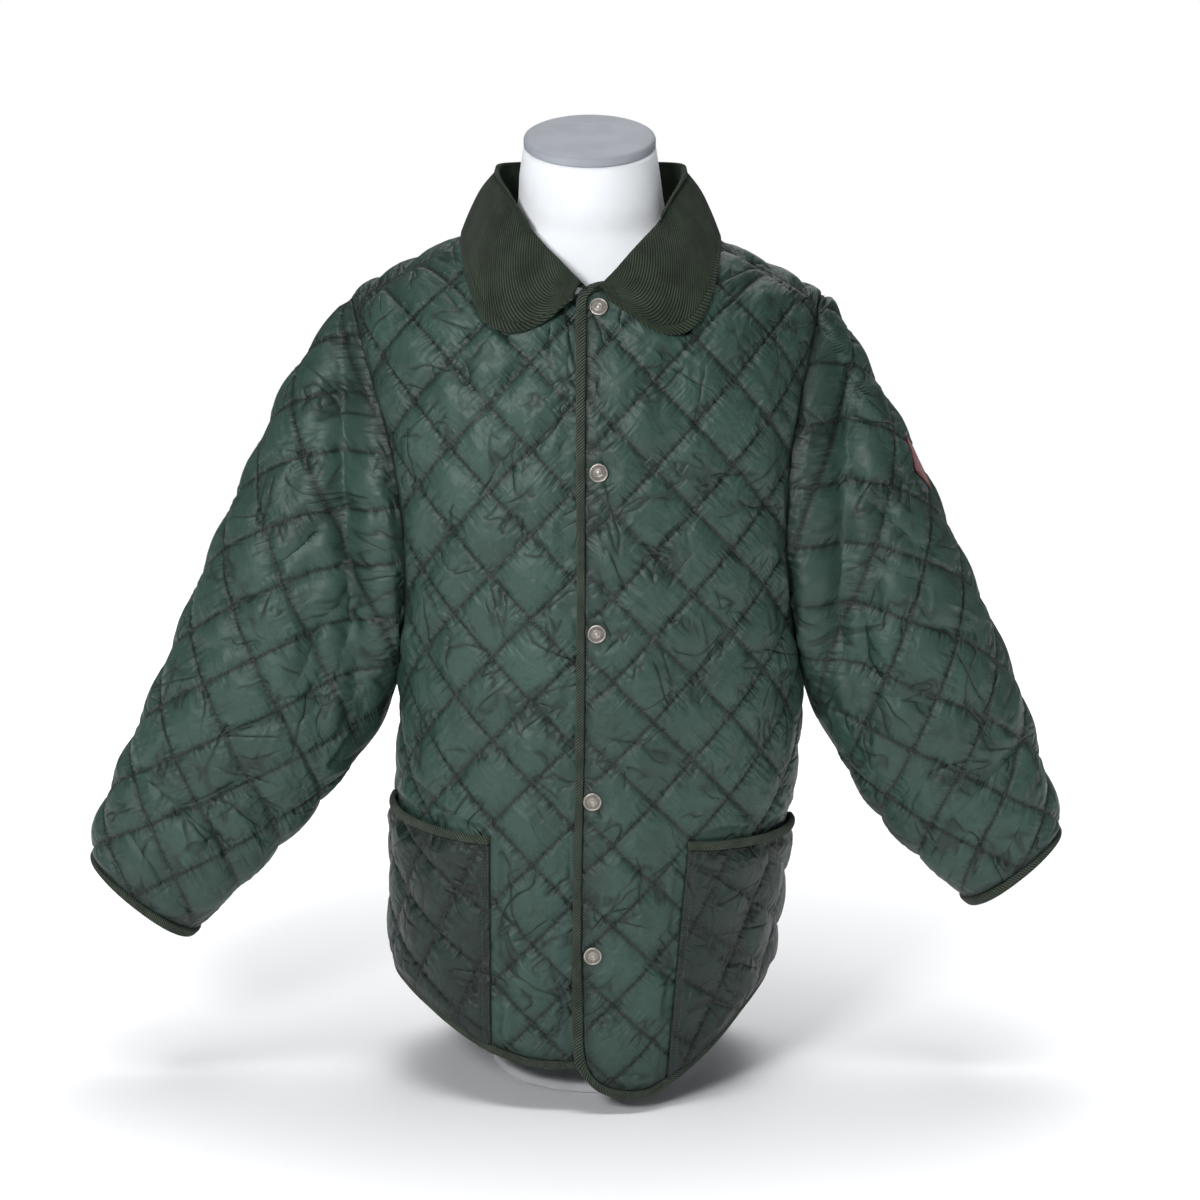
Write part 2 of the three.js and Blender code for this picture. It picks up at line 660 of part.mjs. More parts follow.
// A flat slab of quilting: each cell of the lattice is a puff over a plain inside
function quiltSlab(bounds, lattice) {
  const points = [];
  const faces = [];
  const known = new Map();
  const pointAt = (x, y, w) => {
    const key = `${x.toFixed(3)},${y.toFixed(3)},${w.toFixed(3)}`;
    if (!known.has(key)) {
      known.set(key, points.length);
      points.push([x, y, w]);
    }
    return known.get(key);
  };
  const node = (i, j) => [
    lattice.origin[0] + i * lattice.u[0] + j * lattice.v[0],
    lattice.origin[1] + i * lattice.u[1] + j * lattice.v[1],
  ];
  const area = lattice.u[0] * lattice.v[1] - lattice.u[1] * lattice.v[0];
  const cells = { i: [], j: [] };
  for (const x of [bounds.minX, bounds.maxX]) {
    for (const y of [bounds.minY, bounds.maxY]) {
      const dx = x - lattice.origin[0];
      const dy = y - lattice.origin[1];
      cells.i.push((dx * lattice.v[1] - dy * lattice.v[0]) / area);
      cells.j.push((dy * lattice.u[0] - dx * lattice.u[1]) / area);
    }
  }
  const range = (values) => [Math.floor(Math.min(...values)) - 1, Math.ceil(Math.max(...values)) + 1];
  const [iLow, iHigh] = range(cells.i);
  const [jLow, jHigh] = range(cells.j);
  for (let i = iLow; i < iHigh; i += 1) {
    for (let j = jLow; j < jHigh; j += 1) {
      const corners = [node(i, j), node(i + 1, j), node(i + 1, j + 1), node(i, j + 1)];
      const neighbours = [j > jLow, i < iHigh - 1, j < jHigh - 1, i > iLow];
      const middle = node(i + 0.5, j + 0.5);
      const top = corners.map((corner, k) => {
        const next = corners[(k + 1) % 4];
        const x = middle[0] + PUFF_SPREAD * ((corner[0] + next[0]) / 2 - middle[0]);
        const y = middle[1] + PUFF_SPREAD * ((corner[1] + next[1]) / 2 - middle[1]);
        return pointAt(x, y, STITCHED_THICKNESS + PUFF_TOP * PUFF);
      });
      const upper = corners.map((corner) => pointAt(corner[0], corner[1], STITCHED_THICKNESS));
      const crown = (column) => (lattice.coarse ? (Math.abs(column) % 2) * INNER_CROWN : 0);
      const dip = [i, i + 1, i + 1, i].map(crown);
      const lower = corners.map((corner, k) => pointAt(corner[0], corner[1], dip[k]));
      faces.push([top[0], top[1], top[2]], [top[0], top[2], top[3]]);
      if (lattice.coarse) {
        faces.push([lower[0], lower[2], lower[1]], [lower[0], lower[3], lower[2]]);
      } else {
        const under = pointAt(middle[0], middle[1], INNER_CROWN);
        faces.push(...lower.map((corner, k) => [under, lower[(k + 1) % 4], corner]));
      }
      for (let k = 0; k < 4; k += 1) {
        const n = (k + 1) % 4;
        faces.push([top[k], upper[k], upper[n]]);
        faces.push([top[k], upper[n], top[n]]);
        if (!neighbours[k]) {
          faces.push([upper[k], lower[k], lower[n]]);
          faces.push([upper[k], lower[n], upper[n]]);
        }
      }
    }
  }
  return toGeometry(points, faces);
}

function outlineDistance(outline, x, y) {
  let nearest = Infinity;
  for (let i = 0; i < outline.length; i += 1) {
    const a = outline[i];
    const b = outline[(i + 1) % outline.length];
    const dx = b[0] - a[0];
    const dy = b[1] - a[1];
    const t = Math.min(Math.max(((x - a[0]) * dx + (y - a[1]) * dy) / (dx * dx + dy * dy), 0), 1);
    nearest = Math.min(nearest, Math.hypot(x - a[0] - t * dx, y - a[1] - t * dy));
  }
  return nearest;
}

// One quilted piece: cut from the slab along its outline, pinched at its edges and wrapped
function quiltedPiece(outline, lattice, wrap, limit = () => Infinity, holes = []) {
  const shape = new THREE.Shape(outline.map((point) => new THREE.Vector2(point[0], point[1])));
  for (const hole of holes) {
    const rim = [];
    for (let i = 0; i < SNAP_SIDES; i += 1) {
      const angle = (-2 * Math.PI * i) / SNAP_SIDES;
      const x = hole.x + SNAP_HOLE * Math.cos(angle);
      rim.push(new THREE.Vector2(x, hole.along + SNAP_HOLE * Math.sin(angle)));
    }
    shape.holes.push(new THREE.Path(rim));
  }
  const cutter = new THREE.ExtrudeGeometry(shape, { depth: 40, bevelEnabled: false, steps: 1 });
  cutter.translate(0, 0, -15);
  cutter.computeBoundingBox();
  const box = cutter.boundingBox;
  const bounds = { minX: box.min.x, maxX: box.max.x, minY: box.min.y, maxY: box.max.y };
  const slab = quiltSlab(bounds, lattice);
  const cloth = toManifold(slab).intersect(toManifold(cutter));
  const mesh = cloth.getMesh();
  const points = [];
  for (let i = 0; i < mesh.vertProperties.length; i += mesh.numProp) {
    const [x, y, w] = mesh.vertProperties.slice(i, i + 3);
    let thickness = 0;
    if (w > 1) {
      const inwards = smoothStep(0, SEAM_PINCH, outlineDistance(outline, x, y));
      const pinch = SEAM_FULLNESS + (1 - SEAM_FULLNESS) * inwards;
      thickness = Math.min(STITCHED_THICKNESS + (w - STITCHED_THICKNESS) * pinch, limit(x, y));
    }
    points.push(wrap(x, y, thickness).toArray());
  }
  const faces = [];
  for (let i = 0; i < mesh.triVerts.length; i += 3) {
    faces.push([...mesh.triVerts.slice(i, i + 3)]);
  }
  return toGeometry(points, faces);
}

// A strip: a section polygon carried along a path in pattern space, whose right-hand side is outward.
// A closed one runs round a ring of constant height.
function strip(path, section, wrap, closed = false) {
  const points = [];
  const faces = [];
  const size = section.length;
  path.forEach((place, i) => {
    const before = path[Math.max(i - 1, 0)];
    const after = path[Math.min(i + 1, path.length - 1)];
    const run = new THREE.Vector2(after[0] - before[0], after[1] - before[1]).normalize();
    for (const [off, lift] of section) {
      points.push(wrap(place[0] + run.y * off, place[1] - run.x * off, lift).toArray());
    }
  });
  const rings = closed ? path.length : path.length - 1;
  for (let i = 0; i < rings; i += 1) {
    const here = i * size;
    const next = ((i + 1) % path.length) * size;
    for (let k = 0; k < size; k += 1) {
      const m = (k + 1) % size;
      faces.push([here + k, next + k, next + m]);
      faces.push([here + k, next + m, here + m]);
    }
  }
  if (!closed) {
    const end = (path.length - 1) * size;
    for (let k = 1; k < size - 1; k += 1) {
      faces.push([0, k, k + 1]);
      faces.push([end, end + k + 1, end + k]);
    }
  }
  return toGeometry(points, faces);
}

function hemPoints(table, from, to, count) {
  const points = [];
  for (let i = 0; i <= count; i += 1) {
    const across = from + ((to - from) * i) / count;
    points.push([across, sample(table, "across", across).height]);
  }
  return points;
}

function resampled(points, spacing) {
  const curve = new THREE.CatmullRomCurve3(points.map((point) => new THREE.Vector3(point[0], point[1], 0)));
  const count = Math.max(Math.round(curve.getLength() / spacing), 2);
  return curve.getSpacedPoints(count).map((point) => [point.x, point.y]);
}

function movedAlong(path, index, distance) {
  const [from, to] = [path[index], path[index + 1]];
  const share = distance / Math.hypot(to[0] - from[0], to[1] - from[1]);
  return [from[0] + (to[0] - from[0]) * share, from[1] + (to[1] - from[1]) * share];
}

// The binding lies outside the cut edge, so the cut edge is the finished one moved in
function movedIn(points, distance) {
  return points.map((point, i) => {
    const before = points[Math.max(i - 1, 0)];
    const after = points[Math.min(i + 1, points.length - 1)];
    const run = new THREE.Vector2(after[0] - before[0], after[1] - before[1]).normalize();
    return [point[0] - run.y * distance, point[1] + run.x * distance];
  });
}

const sideAcross = (face, xSign, along) => angleToAcross(face, xSign, Math.PI / 2, along);

// The edge points of a body piece, from below the armhole to the shoulder seam
function sideEdge(face, xSign, fromHeight) {
  const points = [];
  for (let i = 0; i <= SIDE_STEPS; i += 1) {
    const along = fromHeight + ((ARMHOLE_BOTTOM - 1 - fromHeight) * i) / SIDE_STEPS;
    points.push([sideAcross(face, xSign, along), along]);
  }
  for (let i = 1; i <= ARMHOLE_CUT_STEPS; i += 1) {
    const up = 0.5 - 0.5 * Math.cos((Math.PI * i) / ARMHOLE_CUT_STEPS);
    const place = armholePlace(xSign, face, up);
    points.push([place.across, place.along]);
  }
  return movedIn(points, faceSide(face) * xSign * SEAM_GAP);
}

function shoulderEdge(face, xSign, offset, steps) {
  const points = [];
  const armholeHeight = BEND_START + columnLength(face, xSign, Math.PI / 2 - ARMHOLE_TIP) - ARMHOLE_BOTTOM;
  const cut = sample(ARMHOLE_EDGE, "up", 1 - SHOULDER_SEAM_FORWARD / armholeHeight);
  const tip = Math.PI / 2 - THREE.MathUtils.degToRad(cut.front);
  const neck = neckPlace(face, xSign, -SHOULDER_SEAM_FORWARD);
  for (let i = 0; i <= steps; i += 1) {
    const angle = tip + ((neck.angle - tip) * i) / steps;
    const crest = BEND_START + columnLength(face, xSign, angle);
    const along = crest + offset;
    const inset = i === 0 ? -faceSide(face) * xSign * SEAM_GAP : 0;
    points.push([angleToAcross(face, xSign, angle, along) + inset, along]);
  }
  return points;
}

// Neckline position on one side at a given plan depth
function neckPlace(face, xSign, y) {
  let low = 0;
  let high = 180;
  for (let i = 0; i < 30; i += 1) {
    const middle = (low + high) / 2;
    if (sample(NECKLINE, "around", middle).y < y) {
      low = middle;
    } else {
      high = middle;
    }
  }
  const x = NECK_CENTRE_X + xSign * sample(NECKLINE, "around", low).x;
  const section = bodySection(face, SHOULDER_ALONG);
  const angle = Math.asin((Math.abs(x - section.centre) / section.halfWidth) ** (RING_POWER / 2));
  return { angle, around: low };
}

function neckEdge(face, xSign, fromAround, toAround, steps) {
  const points = [];
  for (let i = 0; i <= steps; i += 1) {
    const row = sample(NECKLINE, "around", fromAround + ((toAround - fromAround) * i) / steps);
    const place = planToPattern(face, NECK_CENTRE_X + xSign * row.x, row.y);
    points.push([place.across, place.along]);
  }
  return points;
}

const bodyLattice = (shift, lift) => ({
  u: [DIAMOND_WIDTH / 2, DIAMOND_HEIGHT / 2],
  v: [-DIAMOND_WIDTH / 2, DIAMOND_HEIGHT / 2],
  origin: [shift, lift],
});
const FRONT_LATTICE = bodyLattice(-20.6, 588.3);
const OVER_LATTICE = bodyLattice(15.3, 571.4);
const BACK_LATTICE = bodyLattice(0.7, 582.9);
const SLEEVE_LATTICE = { ...bodyLattice(1.3, 8.7), coarse: true };

// Under front, on the viewer's left
const snapPlaces = SNAPS.map((snap) => ({ ...snap, along: heightToAlong("front", snap.x, snap.z) }));

function pocketInner(pocket, along) {
  const share = Math.min(Math.max((pocket.topInner - along) / pocket.topInner, 0), 1);
  return pocket.innerTop + (pocket.innerBottom - pocket.innerTop) * share;
}

function pocketTop(pocket, across) {
  const side = sideAcross("front", pocket.x, pocket.topSide);
  const share = (across - pocket.innerTop) / (side - pocket.innerTop);
  return pocket.topInner + (pocket.topSide - pocket.topInner) * share;
}

function underPocket(pocket, x, y) {
  const inwards = pocket.x * (x - pocketInner(pocket, y));
  return inwards > -POCKET_BED_MARGIN && y < pocketTop(pocket, x) + BINDING_WIDTH + POCKET_BED_MARGIN;
}

const overEdge = (along) => sample(OVER_EDGE, "height", along).across;
const lapLift = (across) => LAP_LIFT * (1 - smoothStep(LAP_FULL, LAP_END, across));

const frontSurface = (across, along) => bodyPoint("front", across, along);
const backSurface = (across, along) => bodyPoint("back", across, along);
const wrapUnder = (across, along, lift) => lifted(frontSurface, across, along, lift);
const wrapOver = (across, along, lift) => lifted(frontSurface, across, along, lift + lapLift(across));
const wrapBack = (across, along, lift) => lifted(backSurface, across, along, lift);

const underSide = sideAcross("front", -1, HEM_SIDE_ALONG.under);
const overSide = sideAcross("front", 1, HEM_SIDE_ALONG.over);
const backSides = [1, -1].map((xSign) => sideAcross("back", xSign, HEM_SIDE_ALONG.back));
const hemUnder = movedIn(hemPoints(HEM_UNDER, underSide, UNDER_HEM_END, HEM_STEPS.under), BINDING_WIDTH);
const overSpan = [HEM_OVER[0].across, overSide];
const hemOver = movedIn(hemPoints(HEM_OVER, ...overSpan, HEM_STEPS.over), BINDING_WIDTH);
const hemBackFull = hemPoints(HEM_BACK, ...backSides, HEM_STEPS.back);
const hemBack = resampled(movedIn(hemBackFull, BINDING_WIDTH), EDGE_SPACING);
const neckFrontUnder = planToPattern("front", UNDER_EDGE, NECK_FRONT_Y.under);

// Bound edges: each path is both its panel's cut edge and the line its binding follows
const underLine = [];
const underLineEnd = neckFrontUnder.along - UNDER_LINE.clear;
for (let along = UNDER_LINE.start; along < underLineEnd; along += UNDER_LINE.step) {
  underLine.push([UNDER_EDGE, along]);
}
const underHem = hemUnder.filter(within(-Infinity, UNDER_EDGE + 1));
const underEdgePath = resampled([...underHem, ...underLine], EDGE_SPACING);
const overTop = planToPattern("front", overEdge(OVER_LINE.height), NECK_FRONT_Y.over).along;
const overLine = [];
for (let along = overTop - OVER_LINE.clear; along > OVER_LINE.end; along -= OVER_LINE.step) {
  overLine.push([overEdge(along), along]);
}
const overHem = hemOver.filter(within(OVER_LINE.beyondHem, Infinity));
const overEdgePath = resampled([...overLine, ...overHem], EDGE_SPACING);

function underOutline() {
  const side = sideEdge("front", -1, hemUnder[0][1] + CORNER_GAP);
  const shoulder = shoulderEdge("front", -1, -SHOULDER_SEAM_FORWARD - SEAM_GAP, SHOULDER_STEPS);
  const neckStart = neckPlace("front", -1, -SHOULDER_SEAM_FORWARD - SIDE_CLEAR).around;
  const neck = neckEdge("front", -1, neckStart, 1, NECK_STEPS);
  const path = underEdgePath.filter((point) => point[0] > side[0][0] + SIDE_CLEAR);
  const corner = [UNDER_EDGE, neckFrontUnder.along - SIDE_CLEAR];
  const sideCut = side.filter((point) => point[1] < shoulder[0][1] - CORNER_GAP);
  return [...path, corner, ...neck.reverse(), ...shoulder.slice(1).reverse(), ...sideCut.reverse()];
}

function overOutline() {
  const side = sideEdge("front", 1, hemOver[hemOver.length - 1][1] + CORNER_GAP);
  const shoulder = shoulderEdge("front", 1, -SHOULDER_SEAM_FORWARD - SEAM_GAP, SHOULDER_STEPS);
  const neckStart = neckPlace("front", 1, -SHOULDER_SEAM_FORWARD - SIDE_CLEAR).around;
  const neck = neckEdge("front", 1, neckStart, 3, NECK_STEPS);
  const path = overEdgePath.filter((point) => point[0] < side[0][0] - SIDE_CLEAR);
  const sideCut = side.filter((point) => point[1] < shoulder[0][1] - CORNER_GAP);
  return [...path, ...sideCut, ...shoulder.slice(0, -1), ...neck];
}

function backOutline() {
  const offset = SHOULDER_SEAM_FORWARD - SEAM_GAP;
  const right = sideEdge("back", -1, hemBack[hemBack.length - 1][1] + CORNER_GAP);
  const left = sideEdge("back", 1, hemBack[0][1] + CORNER_GAP);
  const rightShoulder = shoulderEdge("back", -1, offset, SHOULDER_STEPS);
  const leftShoulder = shoulderEdge("back", 1, offset, SHOULDER_STEPS);
  const neckStart = neckPlace("back", -1, -SHOULDER_SEAM_FORWARD + SIDE_CLEAR).around;
  const rightNeck = neckEdge("back", -1, neckStart, 178, NECK_STEPS);
  const leftNeck = neckEdge("back", 1, 178, neckStart, NECK_STEPS);
  const bottom = hemBack.filter(within(left[0][0] + SIDE_CLEAR, right[0][0] - SIDE_CLEAR));
  const upper = (points) => points.filter((point) => point[1] > 0);
  return [
    ...bottom,
    ...upper(right),
    ...rightShoulder,
    ...rightNeck.slice(1),
    ...leftNeck.slice(0, -1),
    ...leftShoulder.reverse(),
    ...upper(left).reverse(),
  ];
}

function cuffRing(name) {
  const ring = [];
  for (let i = 0; i < CUFF_STEPS; i += 1) {
    const angle = -Math.PI + (2 * Math.PI * i) / CUFF_STEPS;
    ring.push([sleeveAngleToAcross(SLEEVES[name], angle, BINDING_WIDTH), BINDING_WIDTH]);
  }
  return ring;
}

function sleeveOutline(name) {
  const sleeve = SLEEVES[name];
  const half = (along) => sleeveAngleToAcross(sleeve, Math.PI, along) - SEAM_GAP;
  const cuff = BINDING_WIDTH;
  const waved = cuffRing(name).map((point, i) => [point[0], cuff + (i % 2) * CUFF_WAVE]);
  const points = [[-half(cuff), cuff], ...waved.slice(1), [half(cuff), cuff]];
  const bottom = sleeveSeam(sleeve, Math.PI).along - SEAM_GAP;
  for (let i = 1; i < SLEEVE_SIDE_STEPS; i += 1) {
    const along = cuff + ((bottom - cuff) * i) / SLEEVE_SIDE_STEPS;
    points.push([half(along), along]);
  }
  for (let i = 0; i <= 2 * ARMHOLE_CUT_STEPS; i += 1) {
    const angle = Math.PI - (Math.PI * i) / ARMHOLE_CUT_STEPS;
    const ease = ARMHOLE_GAP + UNDERARM_GAP * smoothStep(1.7, 2.6, Math.abs(angle));
    const along = sleeveSeam(sleeve, angle).along - ease;
    const across = sleeveAngleToAcross(sleeve, angle, along);
    points.push([THREE.MathUtils.clamp(across, -half(along), half(along)), along]);
  }
  for (let i = SLEEVE_SIDE_STEPS - 1; i > 0; i -= 1) {
    const along = cuff + ((bottom - cuff) * i) / SLEEVE_SIDE_STEPS;
    points.push([-half(along), along]);
  }
  return points;
}

function frontLimit(isOver, pocket) {
  return (x, y) => {
    let limit = Infinity;
    if (underPocket(pocket, x, y)) {
      limit = POCKET_BED;
    }
    if (!isOver && x > LAP_UNDER_FROM) {
      const full = STITCHED_THICKNESS + PUFF;
      const share = smoothStep(LAP_UNDER_FROM, LAP_UNDER_FULL, x);
      limit = Math.min(limit, full + (LAP_UNDER_LIMIT - full) * share);
    }
    for (const snap of isOver ? snapPlaces : []) {
      const distance = Math.hypot(x - snap.x, y - snap.along);
      const away = smoothStep(SNAP_DIMPLE.inner, SNAP_DIMPLE.outer, distance);
      const spare = STITCHED_THICKNESS + PUFF - SNAP_DIMPLE.thickness;
      limit = Math.min(limit, SNAP_DIMPLE.thickness + spare * away);
    }
    return limit;
  };
}

// Where the sleeve lies against the body, and under its patch, the quilting is flat
function sleeveLimit(name) {
  const sleeve = SLEEVES[name];
  const inner = sleeveSeam(sleeve, Math.PI).along;
  return (x, y) => {
    const half = sleeveAngleToAcross(sleeve, Math.PI, y);
    if (Math.abs(x) > half - UNDERARM_FLAT && y > inner - 2 * UNDERARM_FLAT) {
      return STITCHED_THICKNESS + UNDERARM_PUFF;
    }
    const aside = Math.abs(x - PATCH.across) / PATCH.halfWidth;
    const rhombus = aside + Math.abs(y - PATCH.along) / PATCH.halfHeight;
    return name === "right" && rhombus < PATCH.bed ? STITCHED_THICKNESS + PATCH_PUFF : Infinity;
  };
}

function pocketOutline(pocket, hem, hemRange) {
  const inner = [];
  const outer = [];
  const lowest = sample(hem, "across", pocket.innerBottom).height + BINDING_WIDTH + POCKET_TRIM.foot;
  const top = pocketTop(pocket, pocket.innerTop) - POCKET_TRIM.edge;
  for (let i = 0; i <= POCKET_STEPS.inner; i += 1) {
    const along = lowest + ((top - lowest) * i) / POCKET_STEPS.inner;
    inner.push([pocketInner(pocket, along), along]);
  }
  const sideLow = hemRange.reduce((best, point) => (pocket.x * point[0] > pocket.x * best[0] ? point : best));
  const sideTop = pocket.topSide - POCKET_TRIM.edge;
  const sideBottom = sideLow[1] + CORNER_GAP;
  for (let i = 0; i <= POCKET_STEPS.side; i += 1) {
    const along = sideBottom + ((sideTop - sideBottom) * i) / POCKET_STEPS.side;
    outer.push([sideAcross("front", pocket.x, along) - pocket.x * POCKET_TRIM.edge, along]);
  }
  const ends = [inner[0][0] + pocket.x * CORNER_GAP, outer[0][0] - pocket.x * CORNER_GAP];
  const between = within(Math.min(...ends), Math.max(...ends));
  const bottom = hemRange.filter(between).map((point) => [point[0], point[1] + POCKET_TRIM.hem]);
  const topEdge = [];
  const [topFrom, topTo] = [outer[outer.length - 1][0], inner[inner.length - 1][0]];
  for (let i = 1; i < POCKET_STEPS.top; i += 1) {
    const across = topFrom + ((topTo - topFrom) * i) / POCKET_STEPS.top;
    topEdge.push([across, pocketTop(pocket, across) - POCKET_TRIM.edge]);
  }
  if (pocket.x > 0) {
    return [...bottom, ...outer, ...topEdge, ...inner.reverse()];
  }
  return [...inner, ...topEdge.reverse(), ...outer.reverse(), ...bottom].reverse();
}

// Bindings
const BINDING_SECTION = [
  [SEAM_GAP, -0.5],
  [6.6, -0.7],
  [BINDING_WIDTH, 1.8],
  [6.8, 4.4],
  [3.6, 5.2],
  [SEAM_GAP, 4.9],
];
const THIN_BINDING_SECTION = [
  [SEAM_GAP, 0],
  [7, 0],
  [BINDING_WIDTH, 2],
  [7, 4.2],
  [SEAM_GAP, 4.2],
];

// A point in plan, as a place in pattern space on one face
function shoulderPlace(face, x, y) {
  const place = planToPattern(face, x, y);
  return [place.across, place.along];
}

// How far the over front lifts the collar at the front of the neck
function collarLap(face, across) {
  return face === "front" ? lapLift(across) * smoothStep(-50, -26, across) : 0;
}

// A point of the collar's fall, moved out where it would touch the jacket
function pushedClear(point, face, from, to) {
  const surface = (across, along) => bodyPoint(face, across, along);
  let best = null;
  for (let i = 0; i <= COLLAR_SEARCH; i += 1) {
    const share = (1.15 * i) / COLLAR_SEARCH;
    const across = from[0] + (to[0] - from[0]) * share;
    const along = from[1] + (to[1] - from[1]) * share;
    const seat = surface(across, along);
    const distance = seat.distanceTo(point);
    if (best === null || distance < best.distance) {
      best = { across, along, seat, distance };
    }
  }
  const normal = lifted(surface, best.across, best.along, 1).sub(best.seat);
  const height = point.clone().sub(best.seat).dot(normal);
  const wanted = COLLAR_FALL_LIFT + collarLap(face, best.across);
  return height < wanted ? point.clone().addScaledVector(normal, wanted - height) : point;
}

// The collar is one strip: a stand from the neckline up to the roll, and a fall down over the shoulder
function collarProfile(around, xSign) {
  const row = sample(COLLAR, "around", around);
  const neck = sample(NECKLINE, "around", around);
  const leafDrop = xSign > 0 ? LEAF_DROP * (1 - smoothStep(40, 110, around)) : 0;
  const face = row.edgeY < 0 ? "front" : "back";
  const surface = (across, along) => bodyPoint(face, across, along);
  const from = shoulderPlace(face, NECK_CENTRE_X + xSign * neck.x, neck.y);
  const to = shoulderPlace(face, NECK_CENTRE_X + xSign * row.edgeX, row.edgeY);
  const base = lifted(surface, from[0], from[1], COLLAR_BASE_LIFT + collarLap(face, from[0]));
  const edge = lifted(surface, to[0], to[1], COLLAR_LIFT + collarLap(face, to[0]));
  const roll = new THREE.Vector3(NECK_CENTRE_X + xSign * row.rollX, row.rollY, row.rollZ - leafDrop);
  const outward = edge.clone().sub(base);
  outward.z = 0;
  outward.normalize();
  const stand = roll.clone().sub(base);
  const fall = edge.clone().sub(roll);
  const bulge = COLLAR_FULLNESS * smoothStep(0, COLLAR_FULL_FALL, fall.length());
  const up = new THREE.Vector3(0, 0, 1);
  const onFall = (share, out) => {
    const point = roll.clone().addScaledVector(fall, share).addScaledVector(outward, out);
    return point.addScaledVector(up, bulge * COLLAR_RISE_SHARE);
  };
  const hidden = [
    base.clone(),
    base.clone().addScaledVector(stand, 0.5),
    roll.clone().addScaledVector(up, -COLLAR_ROLL),
    roll.clone().addScaledVector(outward, COLLAR_ROLL),
    roll.clone().addScaledVector(outward, 2 * COLLAR_ROLL).addScaledVector(up, -COLLAR_ROLL_DROP),
    onFall(0.35, bulge),
    onFall(0.7, bulge * 0.6),
    edge.clone(),
  ].map((point, i) => (i > 3 && i < 7 ? pushedClear(point, face, from, to) : point));
  const visible = hidden.map((point, i) => {
    const before = hidden[Math.max(i - 1, 0)];
    const after = hidden[Math.min(i + 1, hidden.length - 1)];
    const run = after.clone().sub(before).normalize();
    const side = new THREE.Vector3(-outward.y, outward.x, 0);
    const normal = side.cross(run).normalize();
    return point.clone().addScaledVector(normal, COLLAR_THICKNESS);
  });
  return { hidden, visible };
}

function collarGeometry() {
  const stations = [];
  const first = COLLAR[0].around;
  for (let i = 0; i <= COLLAR_STEPS; i += 1) {
    const around = first + ((180 - first) * i) / COLLAR_STEPS;
    stations.push({ around, xSign: -1 });
  }
  for (let i = COLLAR_STEPS - 1; i >= 0; i -= 1) {
    const around = first + ((180 - first) * i) / COLLAR_STEPS;
    stations.push({ around, xSign: 1 });
  }
  const points = [];
  const faces = [];
  let size = 0;
  for (const station of stations) {
    const profile = collarProfile(station.around, station.xSign);
    const loop = [...profile.hidden, ...profile.visible.reverse()];
    size = loop.length;
    points.push(...loop.map((point) => point.toArray()));
  }
  for (let i = 0; i < stations.length - 1; i += 1) {
    for (let k = 0; k < size; k += 1) {
      const m = (k + 1) % size;
      faces.push([i * size + k, (i + 1) * size + m, (i + 1) * size + k]);
      faces.push([i * size + k, i * size + m, (i + 1) * size + m]);
    }
  }
  const end = (stations.length - 1) * size;
  const half = size / 2;
  for (let k = 0; k < half - 1; k += 1) {
    const a = k;
    const b = k + 1;
    const c = size - 2 - k;
    const d = size - 1 - k;
    faces.push([a, c, b], [a, d, c]);
    faces.push([end + a, end + b, end + c], [end + a, end + c, end + d]);
  }
  return toGeometry(points, faces);
}

// Dress form, as rings of a superellipse, ending in a tilted neck
function formGeometry() {
  const points = [];
  const faces = [];
  const last = FORM_SECTIONS[FORM_SECTIONS.length - 1];
  const { height, tilt, radius } = NECK_TOP;
  const rings = FORM_SECTIONS.map((row) => ({ ...row, tilt: 0 }));
  rings.push({ height, centre: last.centre, halfWidth: radius, depth: radius, tilt });
  rings.forEach((ring) => {
    const exponent = ring.halfWidth > NECK_HALF_WIDTH ? RING_POWER : 2;
    for (let i = 0; i < FORM_SIDES; i += 1) {
      const angle = (2 * Math.PI * i) / FORM_SIDES;
      const x = ring.centre + ring.halfWidth * power(Math.cos(angle), 2 / exponent);
      const y = ring.depth * power(Math.sin(angle), 2 / exponent);
      points.push([x, y, ring.height + y * Math.tan(THREE.MathUtils.degToRad(ring.tilt))]);
    }
  });
  for (let r = 0; r < rings.length - 1; r += 1) {
    for (let i = 0; i < FORM_SIDES; i += 1) {
      const n = (i + 1) % FORM_SIDES;
      faces.push([r * FORM_SIDES + i, r * FORM_SIDES + n, (r + 1) * FORM_SIDES + n]);
      faces.push([r * FORM_SIDES + i, (r + 1) * FORM_SIDES + n, (r + 1) * FORM_SIDES + i]);
    }
  }
  const topRing = (rings.length - 1) * FORM_SIDES;
  const bottomCentre = points.length;
  points.push([rings[0].centre, 0, rings[0].height]);
  const topCentre = points.length;
  points.push([last.centre, 0, NECK_TOP.height]);
  for (let i = 0; i < FORM_SIDES; i += 1) {
    const n = (i + 1) % FORM_SIDES;
    faces.push([bottomCentre, n, i]);
    faces.push([topCentre, topRing + i, topRing + n]);
  }
  return toGeometry(points, faces);
}

// A profile of radius and height, turned about Z
function turned(profile, sides) {
  const points = profile.map((point) => new THREE.Vector2(point[0], point[1]));
  const solid = new THREE.LatheGeometry(points, sides);
  solid.rotateX(Math.PI / 2);
  return solid;
}

function baseGeometry() {
  const r = BASE_RADIUS;
  const t = BASE_THICKNESS;
  const profile = [[0, 0], [r, 0], [r, t - 5], [r - 2, t - 2], [r - 6, t], [0, t]];
  return turned(profile, FORM_SIDES);
}

function capGeometry() {
  const r = NECK_TOP.radius;
  const t = CAP_THICKNESS;
  const profile = [[0, 0], [r - 1.5, 0], [r, 1.5], [r, t - 3], [r - 3, t], [0, t]];
  return turned(profile, FORM_SIDES);
}

